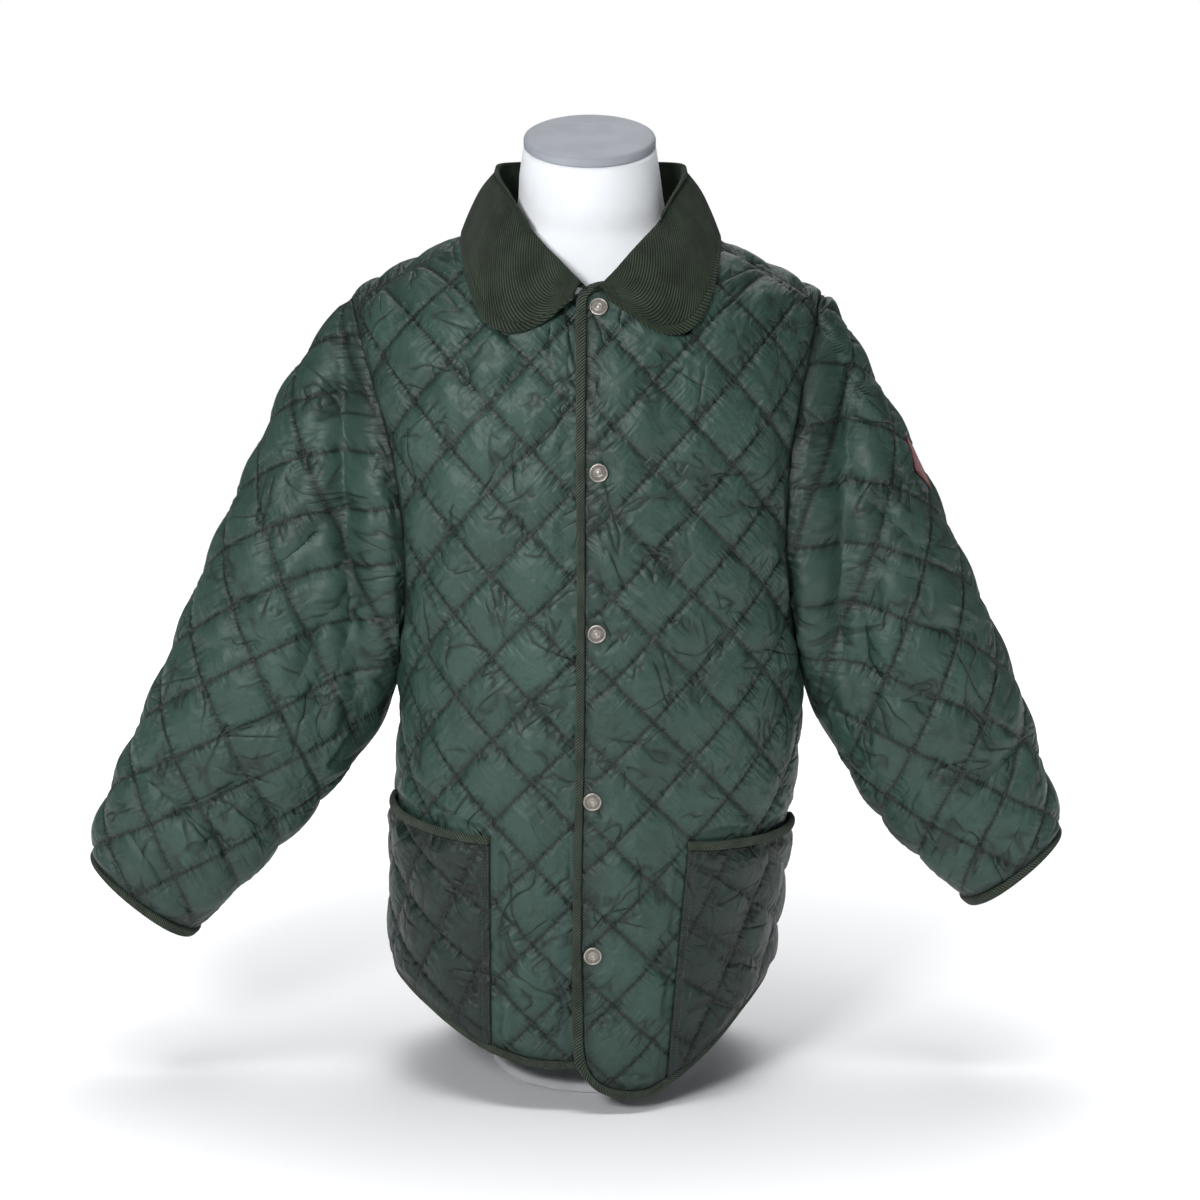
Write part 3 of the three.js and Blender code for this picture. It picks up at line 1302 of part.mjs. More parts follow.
function snapGeometry() {
  const r = SNAP_RADIUS;
  const post = SNAP_HOLE - 1;
  const low = 0.3 - SNAP_LIFT;
  const profile = [
    [0, low], [post, low], [post, 0], [r - 0.4, 0], [r, 0.8], [r - 0.8, 2.2],
    [r - 2.6, 2.3], [r - 3.2, 1.8], [r - 5, 1.9], [0, 2.5],
  ];
  return turned(profile, SNAP_SIDES);
}

// Patch on the sleeve: a thin rhombus made from the sleeve's own points, moved out
function patchGeometry() {
  const points = [];
  const faces = [];
  const steps = 4;
  const index = (layer, i, j) => layer * (steps + 1) ** 2 + i * (steps + 1) + j;
  for (const lift of [PATCH.lift, PATCH.lift + PATCH.thickness]) {
    for (let i = 0; i <= steps; i += 1) {
      for (let j = 0; j <= steps; j += 1) {
        const a = i / steps;
        const b = j / steps;
        const across = PATCH.across + (a - b) * PATCH.halfWidth;
        const along = PATCH.along + (a + b - 1) * PATCH.halfHeight;
        points.push(sleeveLifted("right", across, along, lift).toArray());
      }
    }
  }
  for (let i = 0; i < steps; i += 1) {
    for (let j = 0; j < steps; j += 1) {
      const q = [index(1, i, j), index(1, i + 1, j), index(1, i + 1, j + 1), index(1, i, j + 1)];
      const u = q.map((k) => k - (steps + 1) ** 2);
      faces.push([q[0], q[1], q[2]], [q[0], q[2], q[3]], [u[0], u[2], u[1]], [u[0], u[3], u[2]]);
    }
  }
  const rim = [];
  for (let i = 0; i < steps; i += 1) {
    rim.push([index(0, i, 0), index(0, i + 1, 0)]);
    rim.push([index(0, steps, i), index(0, steps, i + 1)]);
    rim.push([index(0, steps - i, steps), index(0, steps - i - 1, steps)]);
    rim.push([index(0, 0, steps - i), index(0, 0, steps - i - 1)]);
  }
  const layer = (steps + 1) ** 2;
  for (const [a, b] of rim) {
    faces.push([a, b, b + layer], [a, b + layer, a + layer]);
  }
  return toGeometry(points, faces);
}

// Materials
const nylon = new THREE.MeshStandardMaterial({ color: 0x445a53, roughness: 0.38, metalness: 0 });
const corduroy = new THREE.MeshStandardMaterial({ color: 0x353e35, roughness: 0.9, metalness: 0 });
const pewter = new THREE.MeshStandardMaterial({ color: 0x7c7a74, roughness: 0.4, metalness: 0.9 });
const redTwill = new THREE.MeshStandardMaterial({ color: 0x824646, roughness: 0.8, metalness: 0 });
const whiteCloth = new THREE.MeshStandardMaterial({ color: 0xeef1f6, roughness: 0.7, metalness: 0 });
const greyCap = new THREE.MeshStandardMaterial({ color: 0xb9bdc6, roughness: 0.45, metalness: 0 });
const steel = new THREE.MeshStandardMaterial({ color: 0xd8d8d8, roughness: 0.35, metalness: 0.4 });

const jacket = new THREE.Group();

function addMesh(name, geometry, material) {
  const mesh = new THREE.Mesh(geometry, material);
  mesh.name = name;
  jacket.add(mesh);
  return mesh;
}

// Cloth
const underLimit = frontLimit(false, POCKETS.left);
const overLimit = frontLimit(true, POCKETS.right);
addMesh("front_right_hand", quiltedPiece(underOutline(), FRONT_LATTICE, wrapUnder, underLimit), nylon);
const overFront = quiltedPiece(overOutline(), OVER_LATTICE, wrapOver, overLimit, snapPlaces);
addMesh("front_left_hand", overFront, nylon);
addMesh("back", quiltedPiece(backOutline(), BACK_LATTICE, wrapBack), nylon);
for (const [side, hand] of [["left", "right_hand"], ["right", "left_hand"]]) {
  const wrap = (across, along, lift) => sleeveLifted(side, across, along, lift);
  const cloth = quiltedPiece(sleeveOutline(side), SLEEVE_LATTICE, wrap, sleeveLimit(side));
  addMesh(`sleeve_${hand}`, cloth, nylon);
  const ring = cuffRing(side).map((point) => [point[0], point[1] - CUFF_SEAM_GAP]);
  addMesh(`cuff_binding_${hand}`, strip(ring, BINDING_SECTION, wrap, true), corduroy);
}

// Pockets, each with its bound top edge
for (const [side, hand, base, hem] of [
  ["left", "right_hand", wrapUnder, { table: HEM_UNDER, cut: hemUnder }],
  ["right", "left_hand", wrapOver, { table: HEM_OVER, cut: hemOver }],
]) {
  const pocket = POCKETS[side];
  const wrap = (across, along, lift) => base(across, along, lift + POCKET_LIFT);
  const outline = pocketOutline(pocket, hem.table, hem.cut);
  addMesh(`pocket_${hand}`, quiltedPiece(outline, POCKET_LATTICE, wrap), nylon);
  const outer = sideAcross("front", pocket.x, pocket.topSide) - pocket.x * POCKET_TRIM.binding;
  const ends = pocket.x > 0 ? [outer, pocket.innerTop] : [pocket.innerTop, outer];
  const path = [];
  for (let i = 0; i <= POCKET_STEPS.binding; i += 1) {
    const across = ends[0] + ((ends[1] - ends[0]) * i) / POCKET_STEPS.binding;
    path.push([across, pocketTop(pocket, across) - POCKET_TRIM.edge]);
  }
  const wrapBinding = (across, along, lift) => base(across, along, lift + POCKET_BINDING_LIFT);
  addMesh(`pocket_binding_${hand}`, strip(path, BINDING_SECTION, wrapBinding), corduroy);
}

// Hem and front edge bindings, each stopping just short of its side seam
const sideOf = (face, xSign) => {
  const inwards = face === "front" ? -xSign : xSign;
  return sideAcross(face, xSign, BINDING_END_HEIGHT) + inwards * BINDING_END_GAP;
};
const overBound = overEdgePath.filter(within(-Infinity, sideOf("front", 1)));
addMesh("edge_binding_left_hand", strip(overBound, BINDING_SECTION, wrapOver), corduroy);
const split = underEdgePath.findIndex((point) => point[0] > UNDER_SPLIT);
const underBound = underEdgePath.slice(0, split).filter(within(sideOf("front", -1), Infinity));
addMesh("hem_binding_right_hand", strip(underBound, BINDING_SECTION, wrapUnder), corduroy);
const underUpright = [movedAlong(underEdgePath, split - 1, BINDING_JOIN), ...underEdgePath.slice(split)];
addMesh("edge_binding_right_hand", strip(underUpright, THIN_BINDING_SECTION, wrapUnder), corduroy);
const backBound = hemBack.filter(within(sideOf("back", 1), sideOf("back", -1)));
addMesh("hem_binding_back", strip(backBound, BINDING_SECTION, wrapBack), corduroy);

addMesh("collar", collarGeometry(), corduroy);

// Snaps stand on the over front, each with its post through the cloth
for (const snap of snapPlaces) {
  const mesh = addMesh(snap.name, snapGeometry(), pewter);
  const seat = wrapOver(snap.x, snap.along, SNAP_LIFT);
  const outward = wrapOver(snap.x, snap.along, SNAP_LIFT + 1).sub(seat);
  mesh.position.copy(seat);
  mesh.quaternion.setFromUnitVectors(new THREE.Vector3(0, 0, 1), outward.normalize());
}
addMesh("sleeve_patch", patchGeometry(), redTwill);

// Dress form and its stand
addMesh("dress_form", formGeometry(), whiteCloth);
const cap = addMesh("neck_cap", capGeometry(), greyCap);
const tilt = THREE.MathUtils.degToRad(NECK_TOP.tilt);
const neck = FORM_SECTIONS[FORM_SECTIONS.length - 1];
cap.position.set(neck.centre, -Math.sin(tilt) * LAYER_GAP, NECK_TOP.height + Math.cos(tilt) * LAYER_GAP);
cap.rotation.x = tilt;
const poleHeight = FORM_BOTTOM - BASE_THICKNESS - 2 * LAYER_GAP;
const tube = new THREE.CylinderGeometry(POLE_RADIUS, POLE_RADIUS, poleHeight, POLE_SIDES);
const pole = addMesh("stand_pole", tube, steel);
pole.rotation.x = Math.PI / 2;
pole.position.z = BASE_THICKNESS + LAYER_GAP + poleHeight / 2;
addMesh("stand_base", baseGeometry(), steel);

export default jacket;
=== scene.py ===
"""Looks of a diamond-quilted jacket, snapped shut, on a limbless dress form.

Every cloth piece is laid out flat first, as (across, along, lift) in millimetres, and wrapped onto the
worn shape with the same rules as the solids. X is to the viewer's right, the front faces -Y, Z is up.
Suffixes _right_hand and _left_hand are the wearer's sides; the right hand side has negative X.
"""

import math

import bmesh
import bpy
import numpy as np
from mathutils import Matrix, Vector, geometry


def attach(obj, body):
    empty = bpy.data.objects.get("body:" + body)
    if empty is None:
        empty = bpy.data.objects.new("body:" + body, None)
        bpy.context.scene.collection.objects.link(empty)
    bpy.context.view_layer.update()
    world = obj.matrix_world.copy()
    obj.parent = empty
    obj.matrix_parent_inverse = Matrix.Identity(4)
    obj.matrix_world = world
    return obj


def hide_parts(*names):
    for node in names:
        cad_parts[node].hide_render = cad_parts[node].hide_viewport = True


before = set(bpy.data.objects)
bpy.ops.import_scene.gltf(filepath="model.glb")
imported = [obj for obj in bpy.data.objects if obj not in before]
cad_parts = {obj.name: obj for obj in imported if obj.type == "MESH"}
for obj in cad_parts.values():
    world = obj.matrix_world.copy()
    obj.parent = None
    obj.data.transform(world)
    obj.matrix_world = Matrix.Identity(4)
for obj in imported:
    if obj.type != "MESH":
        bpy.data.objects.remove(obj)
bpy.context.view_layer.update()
MM = 0.001


def table(names, *rows):
    """Named columns from rows of numbers."""
    columns = np.array(rows, float).T
    return dict(zip(names.split(), columns))


# Quilted cloth
DIAMOND_WIDTH = 74
DIAMOND_HEIGHT = 77
STITCHED_THICKNESS = 1.9
PUFF = 6.0
PUFF_POWER = 0.52
PUFF_LEAST = 0.88
PUFF_SPREAD = 0.2
PUFF_LEAN = 0.14
SEAM_PINCH = 13
SEAM_THINNEST = 0.1
SEAM_GAP = 0.3
OUTLINE_SPACING = 3.6
GRID_PER_DIAMOND = 22
INSIDE_GRID = 5

# Gathers beside the stitched lines: how far they reach, where they start and the least share left
GATHER_REACH = 7.5
GATHER_START = 1.8
LEAST_GATHERED = 0.25

# Creases in the wadding: the turn of each set in radians, its size and its height
CRUMPLES = ((0.3, 15.0, 0.5), (1.25, 19.0, 0.55), (2.1, 11.0, 0.34), (2.8, 8.5, 0.24))

# Body
RING_POWER = 2.4
COLUMN_POWER = 2.2
BEND_START = 605
SHOULDER_SEAM_FORWARD = 24
BODY_SECTIONS = table(
    "height centre half_width front back",
    (10, -16, 166, 144, 136),
    (63, -14.5, 171, 146, 138),
    (104, -13.5, 178, 147, 139),
    (206, -7, 183, 149, 140),
    (266, -2, 186, 150, 141),
    (361, 5, 187, 151, 142),
    (480, 2, 190, 150, 144),
    (605, -3, 198, 147, 147),
    (700, -7, 212, 146, 146),
    (780, -8, 226, 146, 146),
    (950, -8, 230, 146, 146),
)
SHOULDER_CREST = table(
    "from_centre height",
    (0, 811),
    (70, 810),
    (100, 805),
    (118, 798),
    (150, 782),
    (190, 762),
    (220, 744),
    (245, 722),
)

# Armhole: share of the way up, and how far its edge lies from the side line, in degrees
ARMHOLE_BOTTOM = 405
ARMHOLE_EDGE = table(
    "up front back",
    (0, 0, 0),
    (0.03, 9, 8),
    (0.08, 15.5, 13.5),
    (0.16, 21.5, 18.5),
    (0.32, 26.5, 22.5),
    (0.52, 27, 23),
    (0.7, 23.5, 21),
    (0.86, 18, 17),
    (1, 14, 14),
)
ARMHOLE_TIP = math.radians(14)

# Sleeves, from the cuff up: where the outer and inner fold lines lie, and half the depth
SLEEVE_COLUMNS = "outer_x outer_z inner_x inner_z depth forward"
SLEEVES = {
    "right_hand": {
        "x": -1,
        "rows": table(
            SLEEVE_COLUMNS,
            (-481, 211, -393, 136, 44, 22),
            (-477, 240, -352, 176, 50, 20),
            (-460, 282, -306, 224, 57, 16),
            (-437, 332, -256, 280, 64, 12),
            (-408, 396, -214, 334, 70, 8),
            (-386, 446, -201, 386, 73, 5),
            (-352, 524, -180, 455, 75, 3),
            (-318, 596, -142, 525, 73, 1),
            (-282, 670, -104, 600, 66, 0),
            (-218, 750, -60, 690, 58, 0),
        ),
    },
    "left_hand": {
        "x": 1,
        "rows": table(
            SLEEVE_COLUMNS,
            (443, 236, 363, 168, 44, 22),
            (439, 262, 324, 204, 50, 20),
            (423, 306, 282, 246, 57, 16),
            (404, 366, 245, 298, 64, 12),
            (380, 424, 219, 348, 70, 8),
            (357, 474, 210, 391, 73, 5),
            (326, 540, 188, 460, 75, 3),
            (292, 612, 150, 530, 73, 1),
            (252, 682, 108, 602, 66, 0),
            (222, 738, 70, 684, 58, 0),
        ),
    },
}
SLEEVE_POWER = 2.15
ARMHOLE_BLEND = 120
ARMHOLE_GAP = 0.9

# Folds: piece, a line in X and Z, its half width, and how far it goes in at the front and at the back.
# A negative depth is a ridge.
FOLDS = [
    ("right_hand", -232, 690, -228, 395, 17, 20, 14),
    ("right_hand", -262, 560, -262, 340, 14, 7, 9),
    ("right_hand", -455, 320, -380, 262, 15, 7, 5),
    ("right_hand", -345, 300, -290, 262, 14, 6, 8),
    ("left_hand", 232, 680, 226, 405, 17, 19, 15),
    ("left_hand", 268, 575, 250, 360, 14, 8, 7),
    ("left_hand", 425, 340, 350, 300, 15, 7, 6),
    ("left_hand", 330, 330, 285, 275, 14, 6, 7),
    ("body", -150, 560, -60, 430, 20, 4, 5),
    ("body", 150, 520, 80, 400, 20, 4, 5),
    ("right_hand", -250, 640, -290, 560, 8, 5, 4),
    ("right_hand", -236, 560, -300, 500, 7, 5, 5),
    ("right_hand", -240, 500, -330, 470, 8, 4.5, 4),
    ("right_hand", -246, 470, -280, 400, 7, 5, 4),
    ("right_hand", -225, 440, -250, 350, 6, -4, -3),
    ("right_hand", -300, 440, -380, 420, 8, 3.5, 4),
    ("right_hand", -262, 365, -350, 350, 8, 4, 3),
    ("right_hand", -420, 300, -340, 230, 7, 4, 4),
    ("right_hand", -440, 250, -400, 190, 6, 3, 3),
    ("left_hand", 248, 640, 290, 570, 8, 5, 4),
    ("left_hand", 238, 580, 300, 520, 7, 5, 5),
    ("left_hand", 240, 520, 320, 480, 8, 4.5, 4),
    ("left_hand", 246, 480, 262, 410, 7, 5, 4),
    ("left_hand", 222, 450, 236, 370, 6, -4, -3),
    ("left_hand", 290, 450, 365, 440, 8, 3.5, 4),
    ("left_hand", 262, 385, 340, 375, 8, 4, 3),
    ("left_hand", 400, 330, 330, 260, 7, 4, 4),
    ("left_hand", 405, 270, 380, 215, 6, 3, 3),
    ("body", -170, 690, -120, 640, 9, 3, 3),
    ("body", -172, 640, -110, 600, 8, 3, 3),
    ("body", 168, 690, 120, 640, 9, 3, 3),
    ("body", 170, 630, 112, 590, 8, 3, 3),
    ("body", -165, 400, -100, 330, 10, 2.5, 3),
    ("body", 165, 380, 110, 320, 10, 2.5, 3),
    ("body", -30, 730, -90, 680, 9, 2.5, 2),
    ("body", 40, 720, 96, 675, 9, 2.5, 2),
]

# Front opening: the wearer's left front laps over the other one
OVER_EDGE = table("height across", (0, -12), (160, -12), (480, -8), (1000, -8))
UNDER_EDGE = 20
LAP_LIFT = 7.4
LAP_FULL = 32
LAP_END = 78
LAP_UNDER_LIMIT = 3.6
LAP_UNDER_FROM = -52
LAP_UNDER_FULL = -26

# Hem, as the finished lower edge
BINDING_WIDTH = 8
HEM_OVER = table(
    "across height",
    (-20, 66),
    (-17, 47),
    (-8, 32),
    (10, 19),
    (46, 15),
    (70, 23),
    (100, 42),
    (128, 62),
    (160, 84),
    (205, 98),
    (300, 102),
)
HEM_UNDER = table(
    "across height",
    (-300, 104),
    (-215, 102),
    (-175, 92),
    (-145, 78),
    (-118, 64),
    (-92, 53),
    (-61, 45),
    (-30, 43),
    (4, 45),
    (20, 55),
    (27, 70),
)
HEM_BACK = table(
    "across height",
    (-300, 102),
    (-205, 98),
    (-150, 76),
    (-90, 52),
    (0, 42),
    (90, 52),
    (150, 78),
    (205, 101),
    (300, 104),
)

# Neckline in plan
NECKLINE = table(
    "around x y",
    (0, 0, -104),
    (25, 34, -98),
    (50, 66, -76),
    (75, 88, -40),
    (95, 94, -6),
    (120, 86, 34),
    (150, 50, 66),
    (180, 0, 76),
)
NECK_CENTRE_X = -4

# Patch pockets
POCKETS = {
    "right_hand": {"x": -1, "inner_top": -97, "inner_bottom": -97, "top_inner": 260, "top_side": 268},
    "left_hand": {"x": 1, "inner_top": 85, "inner_bottom": 64, "top_inner": 256, "top_side": 246},
}
POCKET_BED = 2.4
POCKET_BED_MARGIN = 19
POCKET_LIFT = 5.3

# Snaps on the over front: across and height
SNAPS = {
    "snap_1": (2, 746),
    "snap_2": (2, 608),
    "snap_3": (2, 462),
    "snap_4": (-1.4, 306),
    "snap_5": (-3.4, 158),
}
SNAP_DIMPLE = {"thickness": 3, "inner": 10, "outer": 30}

# Sleeve patch
PATCH = {"across": -14, "along": 392, "half_width": 21, "half_height": 29, "thickness": 1.3, "lift": 4.1}

# Collar, right half; the left half mirrors it
COLLAR = table(
    "around roll_x roll_y roll_z edge_x edge_y",
    (2, 7, -107, 772, 17, -110),
    (13, 18, -98, 780, 42, -118),
    (25, 30, -86, 791, 68, -120),
    (38, 44, -70, 805, 92, -112),
    (52, 60, -50, 824, 106, -93),
    (66, 73, -28, 843, 112, -68),
    (84, 84, -4, 858, 115, -34),
    (104, 84, 24, 867, 114, 8),
    (128, 70, 50, 868, 104, 58),
    (154, 38, 69, 867, 60, 96),
    (180, 0, 75, 866, 0, 105),
)
COLLAR_THICKNESS = 2.6
COLLAR_LIFT = 11
COLLAR_FALL_LIFT = 11.6
COLLAR_BASE_LIFT = 5.6
LEAF_DROP = 4.5

# Dress form
FORM_SECTIONS = table(
    "height centre half_width depth",
    (308, 0, 152, 110),
    (450, 0, 156, 120),
    (610, -4, 170, 128),
    (690, -7, 178, 118),
    (730, -8, 177, 104),
    (758, -8, 166, 90),
    (777.5, -8, 149, 79),
    (792.3, -8, 119, 69),
    (802.3, -7, 92, 64),
    (812, -5, 75, 61),
    (834, -4, 68, 62),
    (862, -5, 65, 62),
)
NECK_TOP = {"height": 888, "tilt": math.radians(17), "radius": 61}
CAP_THICKNESS = 9


# Reading tables and measuring curves


def read(columns, key, at):
    """Smooth reading of a table at values of its key column, as a dict of arrays."""
    at = np.atleast_1d(np.asarray(at, float))
    keys = columns[key]
    last = len(keys) - 1
    i = np.clip(np.searchsorted(keys, at) - 1, 0, last - 1)
    span = keys[i + 1] - keys[i]
    t = np.clip((at - keys[i]) / span, 0, 1)
    row = {}
    for name, values in columns.items():

        def slope(k):
            low = np.maximum(k - 1, 0)
            high = np.minimum(k + 1, last)
            return (values[high] - values[low]) / (keys[high] - keys[low])

        start = values[i]
        end = values[i + 1]
        row[name] = (
            (2 * t**3 - 3 * t**2 + 1) * start
            + (t**3 - 2 * t**2 + t) * slope(i) * span
            + (3 * t**2 - 2 * t**3) * end
            + (t**3 - t**2) * slope(i + 1) * span
        )
    return row


def smooth_step(low, high, value):
    t = np.clip((value - low) / (high - low), 0, 1)
    return t * t * (3 - 2 * t)


def signed_power(value, exponent):
    return np.sign(value) * np.abs(value) ** exponent


def quarter_lengths(width, depth, exponent, steps=28):
    """Lengths along a quarter of a superellipse, from its end on the second axis to its first."""
    angle = np.linspace(0, math.pi / 2, steps + 1)
    across = np.multiply.outer(width, np.sin(angle) ** (2 / exponent))
    out = np.multiply.outer(depth, np.abs(np.cos(angle)) ** (2 / exponent))
    pieces = np.hypot(np.diff(across, axis=1), np.diff(out, axis=1))
    return np.concatenate([np.zeros((len(pieces), 1)), np.cumsum(pieces, axis=1)], axis=1)


def length_to_angle(lengths, length):
    steps = lengths.shape[1] - 1
    i = np.minimum((lengths[:, 1:] < length[:, None]).sum(axis=1), steps - 1)
    row = np.arange(len(i))
    share = np.clip((length - lengths[row, i]) / (lengths[row, i + 1] - lengths[row, i]), 0, 1)
    return (math.pi / 2) * (i + share) / steps


def angle_to_length(lengths, angle):
    steps = lengths.shape[1] - 1
    place = np.clip(angle / (math.pi / 2), 0, 1) * steps
    i = np.minimum(np.floor(place).astype(int), steps - 1)
    row = np.arange(len(i))
    return lengths[row, i] + (place - i) * (lengths[row, i + 1] - lengths[row, i])


def fold_push(piece, x, z, behind):
    push = np.zeros_like(x)
    for name, x0, z0, x1, z1, width, depth, back_depth in FOLDS:
        if name == piece:
            run = np.array((x1 - x0, z1 - z0), float)
            size = np.hypot(*run)
            t = ((x - x0) * run[0] + (z - z0) * run[1]) / size**2
            off = np.abs((x - x0) * run[1] - (z - z0) * run[0]) / size
            window = smooth_step(-0.18, 0.2, t) * (1 - smooth_step(0.8, 1.18, t))
            push += window * np.where(behind, back_depth, depth) * np.exp(-((off / width) ** 2))
    return push


# The worn body


def face_side(face):
    return 1 if face == "front" else -1


def other_face(face):
    return "back" if face == "front" else "front"


def body_section(face, along):
    row = read(BODY_SECTIONS, "height", along)
    return row["centre"], row["half_width"], row[face]


def column_at(face, x_sign, angle, along):
    centre, half_width, depth = body_section(face, along)
    x = centre + x_sign * half_width * np.sin(angle) ** (2 / RING_POWER)
    depth = np.maximum(depth * np.abs(np.cos(angle)) ** (2 / RING_POWER), 1)
    rise = read(SHOULDER_CREST, "from_centre", np.abs(x - centre))["height"] - BEND_START
    return x, depth, rise, quarter_lengths(rise, depth, COLUMN_POWER)


def column_length(face, x_sign, angle):
    length = np.full_like(angle, 180.0)
    for _ in range(6):
        length = column_at(face, x_sign, angle, BEND_START + length)[3][:, -1]
    return length


def column_point(face, x_sign, angle, along):
    x, depth, rise, lengths = column_at(face, x_sign, angle, along)
    out = -face_side(face)
    over = along - BEND_START
    bend = length_to_angle(lengths, np.maximum(over, 0))
    y = out * depth * np.where(over > 0, np.abs(np.cos(bend)) ** (2 / COLUMN_POWER), 1)
    z = np.where(over > 0, BEND_START + rise * np.sin(bend) ** (2 / COLUMN_POWER), along)
    points = np.stack([x, y, z], axis=1)
    past = over > lengths[:, -1]
    if past.any():
        signs = x_sign[past]
        angles = angle[past]
        beyond = np.maximum(over[past] - column_length(face, signs, angles), 0)
        crest = column_length(other_face(face), signs, angles)
        points[past] = column_point(other_face(face), signs, angles, BEND_START + crest - beyond - 0.01)
    return points


def angle_to_across(face, x_sign, angle, along):
    centre, half_width, depth = body_section(face, along)
    lengths = quarter_lengths(half_width, depth, RING_POWER)
    return face_side(face) * (centre + x_sign * angle_to_length(lengths, angle))


def body_point(face, across, along):
    centre, half_width, depth = body_section(face, along)
    side = face_side(face)
    from_centre = across - side * centre
    angle = length_to_angle(quarter_lengths(half_width, depth, RING_POWER), np.abs(from_centre))
    x_sign = side * np.where(from_centre < 0, -1.0, 1.0)
    points = column_point(face, x_sign, angle, along)
    points[:, 1] += side * fold_push("body", points[:, 0], points[:, 2], face == "back")
    return points


def unit(vectors):
    return vectors / np.maximum(np.linalg.norm(vectors, axis=1, keepdims=True), 1e-9)


def as_rows(*values):
    """Numbers or arrays as arrays of one shape."""
    return np.broadcast_arrays(*(np.atleast_1d(np.asarray(value, float)) for value in values))


def normals(surface, across, along, step=1.5):
    right = surface(across + step, along) - surface(across - step, along)
    up = surface(across, along + step) - surface(across, along - step)
    return unit(np.cross(right, up))


def lifted(surface, across, along, lift):
    across, along, lift = as_rows(across, along, lift)
    return surface(across, along) + normals(surface, across, along) * lift[:, None]


def front_surface(across, along):
    return body_point("front", across, along)


def back_surface(across, along):
    return body_point("back", across, along)


def lap_lift(across):
    return LAP_LIFT * (1 - smooth_step(LAP_FULL, LAP_END, across))


def wrap_under(across, along, lift):
    return lifted(front_surface, across, along, lift)


def wrap_over(across, along, lift):
    return lifted(front_surface, across, along, lift + lap_lift(np.asarray(across, float)))


def wrap_back(across, along, lift):
    return lifted(back_surface, across, along, lift)


# Armhole and sleeves


def armhole_place(x_sign, face, up):
    inset = np.maximum(read(ARMHOLE_EDGE, "up", up)[face], 0)
    angle = math.pi / 2 - np.radians(inset)
    signs = np.full_like(angle, float(x_sign))
    crest = BEND_START + column_length(face, signs, np.full_like(angle, math.pi / 2 - ARMHOLE_TIP))
    along = ARMHOLE_BOTTOM + up * (crest - ARMHOLE_BOTTOM)
    return angle_to_across(face, signs, angle, along), along


def prepare_sleeve(sleeve):
    """Adds the distance along the sleeve, and where the armhole lies seen from it."""
    rows = sleeve["rows"]
    middle = np.stack([rows["outer_x"] + rows["inner_x"], rows["outer_z"] + rows["inner_z"]], axis=1) / 2
    rows["along"] = np.concatenate([[0], np.cumsum(np.linalg.norm(np.diff(middle, axis=0), axis=1))])
    angle = np.clip(np.linspace(-math.pi, math.pi, 145), -math.pi + 1e-4, math.pi - 1e-4)
    point = np.zeros((len(angle), 3))
    normal = np.zeros((len(angle), 3))
    for face, chosen in (("front", angle * sleeve["x"] < 0), ("back", angle * sleeve["x"] >= 0)):
        across, along = armhole_place(sleeve["x"], face, (1 + np.cos(angle[chosen])) / 2)
        surface = front_surface if face == "front" else back_surface
        point[chosen] = surface(across, along)
        normal[chosen] = normals(surface, across, along)
    low = np.zeros(len(angle))
    high = np.full(len(angle), rows["along"][-1] + 80)
    for _ in range(26):
        at = (low + high) / 2
        centre, outward, _, _ = sleeve_ring(sleeve, at)
        across = np.stack([-sleeve["x"] * outward[:, 2], 0 * at, sleeve["x"] * outward[:, 0]], axis=1)
        short = ((point - centre) * across).sum(axis=1) > 0
        low = np.where(short, at, low)
        high = np.where(short, high, at)
    offset = point - ring_point(sleeve, angle, low)
    names = "angle along dx dy dz nx ny nz".split()
    columns = [np.linspace(-math.pi, math.pi, 145), low, *offset.T, *normal.T]
    sleeve["armhole"] = dict(zip(names, columns))


def sleeve_ring(sleeve, along):
    row = read(sleeve["rows"], "along", along)
    zero = np.zeros_like(row["depth"])
    middle_x = (row["outer_x"] + row["inner_x"]) / 2
    middle_z = (row["outer_z"] + row["inner_z"]) / 2
    centre = np.stack([middle_x, -row["forward"], middle_z], axis=1)
    half_x = (row["outer_x"] - row["inner_x"]) / 2
    half_z = (row["outer_z"] - row["inner_z"]) / 2
    outward = np.stack([half_x, zero, half_z], axis=1)
    lengths = quarter_lengths(row["depth"], np.linalg.norm(outward, axis=1), SLEEVE_POWER)
    return centre, outward, row["depth"], lengths


def ring_point(sleeve, angle, along):
    centre, outward, depth, _ = sleeve_ring(sleeve, along)
    points = centre + outward * signed_power(np.cos(angle), 2 / SLEEVE_POWER)[:, None]
    points[:, 1] += signed_power(np.sin(angle), 2 / SLEEVE_POWER) * sleeve["x"] * depth
    return points


def sleeve_angle(sleeve, across, along):
    lengths = sleeve_ring(sleeve, along)[3]
    quarter = lengths[:, -1]
    length = np.abs(across)
    near = length_to_angle(lengths, length)
    far = math.pi - length_to_angle(lengths, 2 * quarter - length)
    return np.sign(across) * np.where(length <= quarter, near, far)


def sleeve_across(sleeve, angle, along):
    angle, along = np.broadcast_arrays(np.atleast_1d(angle), np.atleast_1d(along))
    lengths = sleeve_ring(sleeve, along)[3]
    size = np.abs(angle)
    near = angle_to_length(lengths, size)
    far = 2 * lengths[:, -1] - angle_to_length(lengths, math.pi - size)
    return np.sign(angle) * np.where(size <= math.pi / 2, near, far)


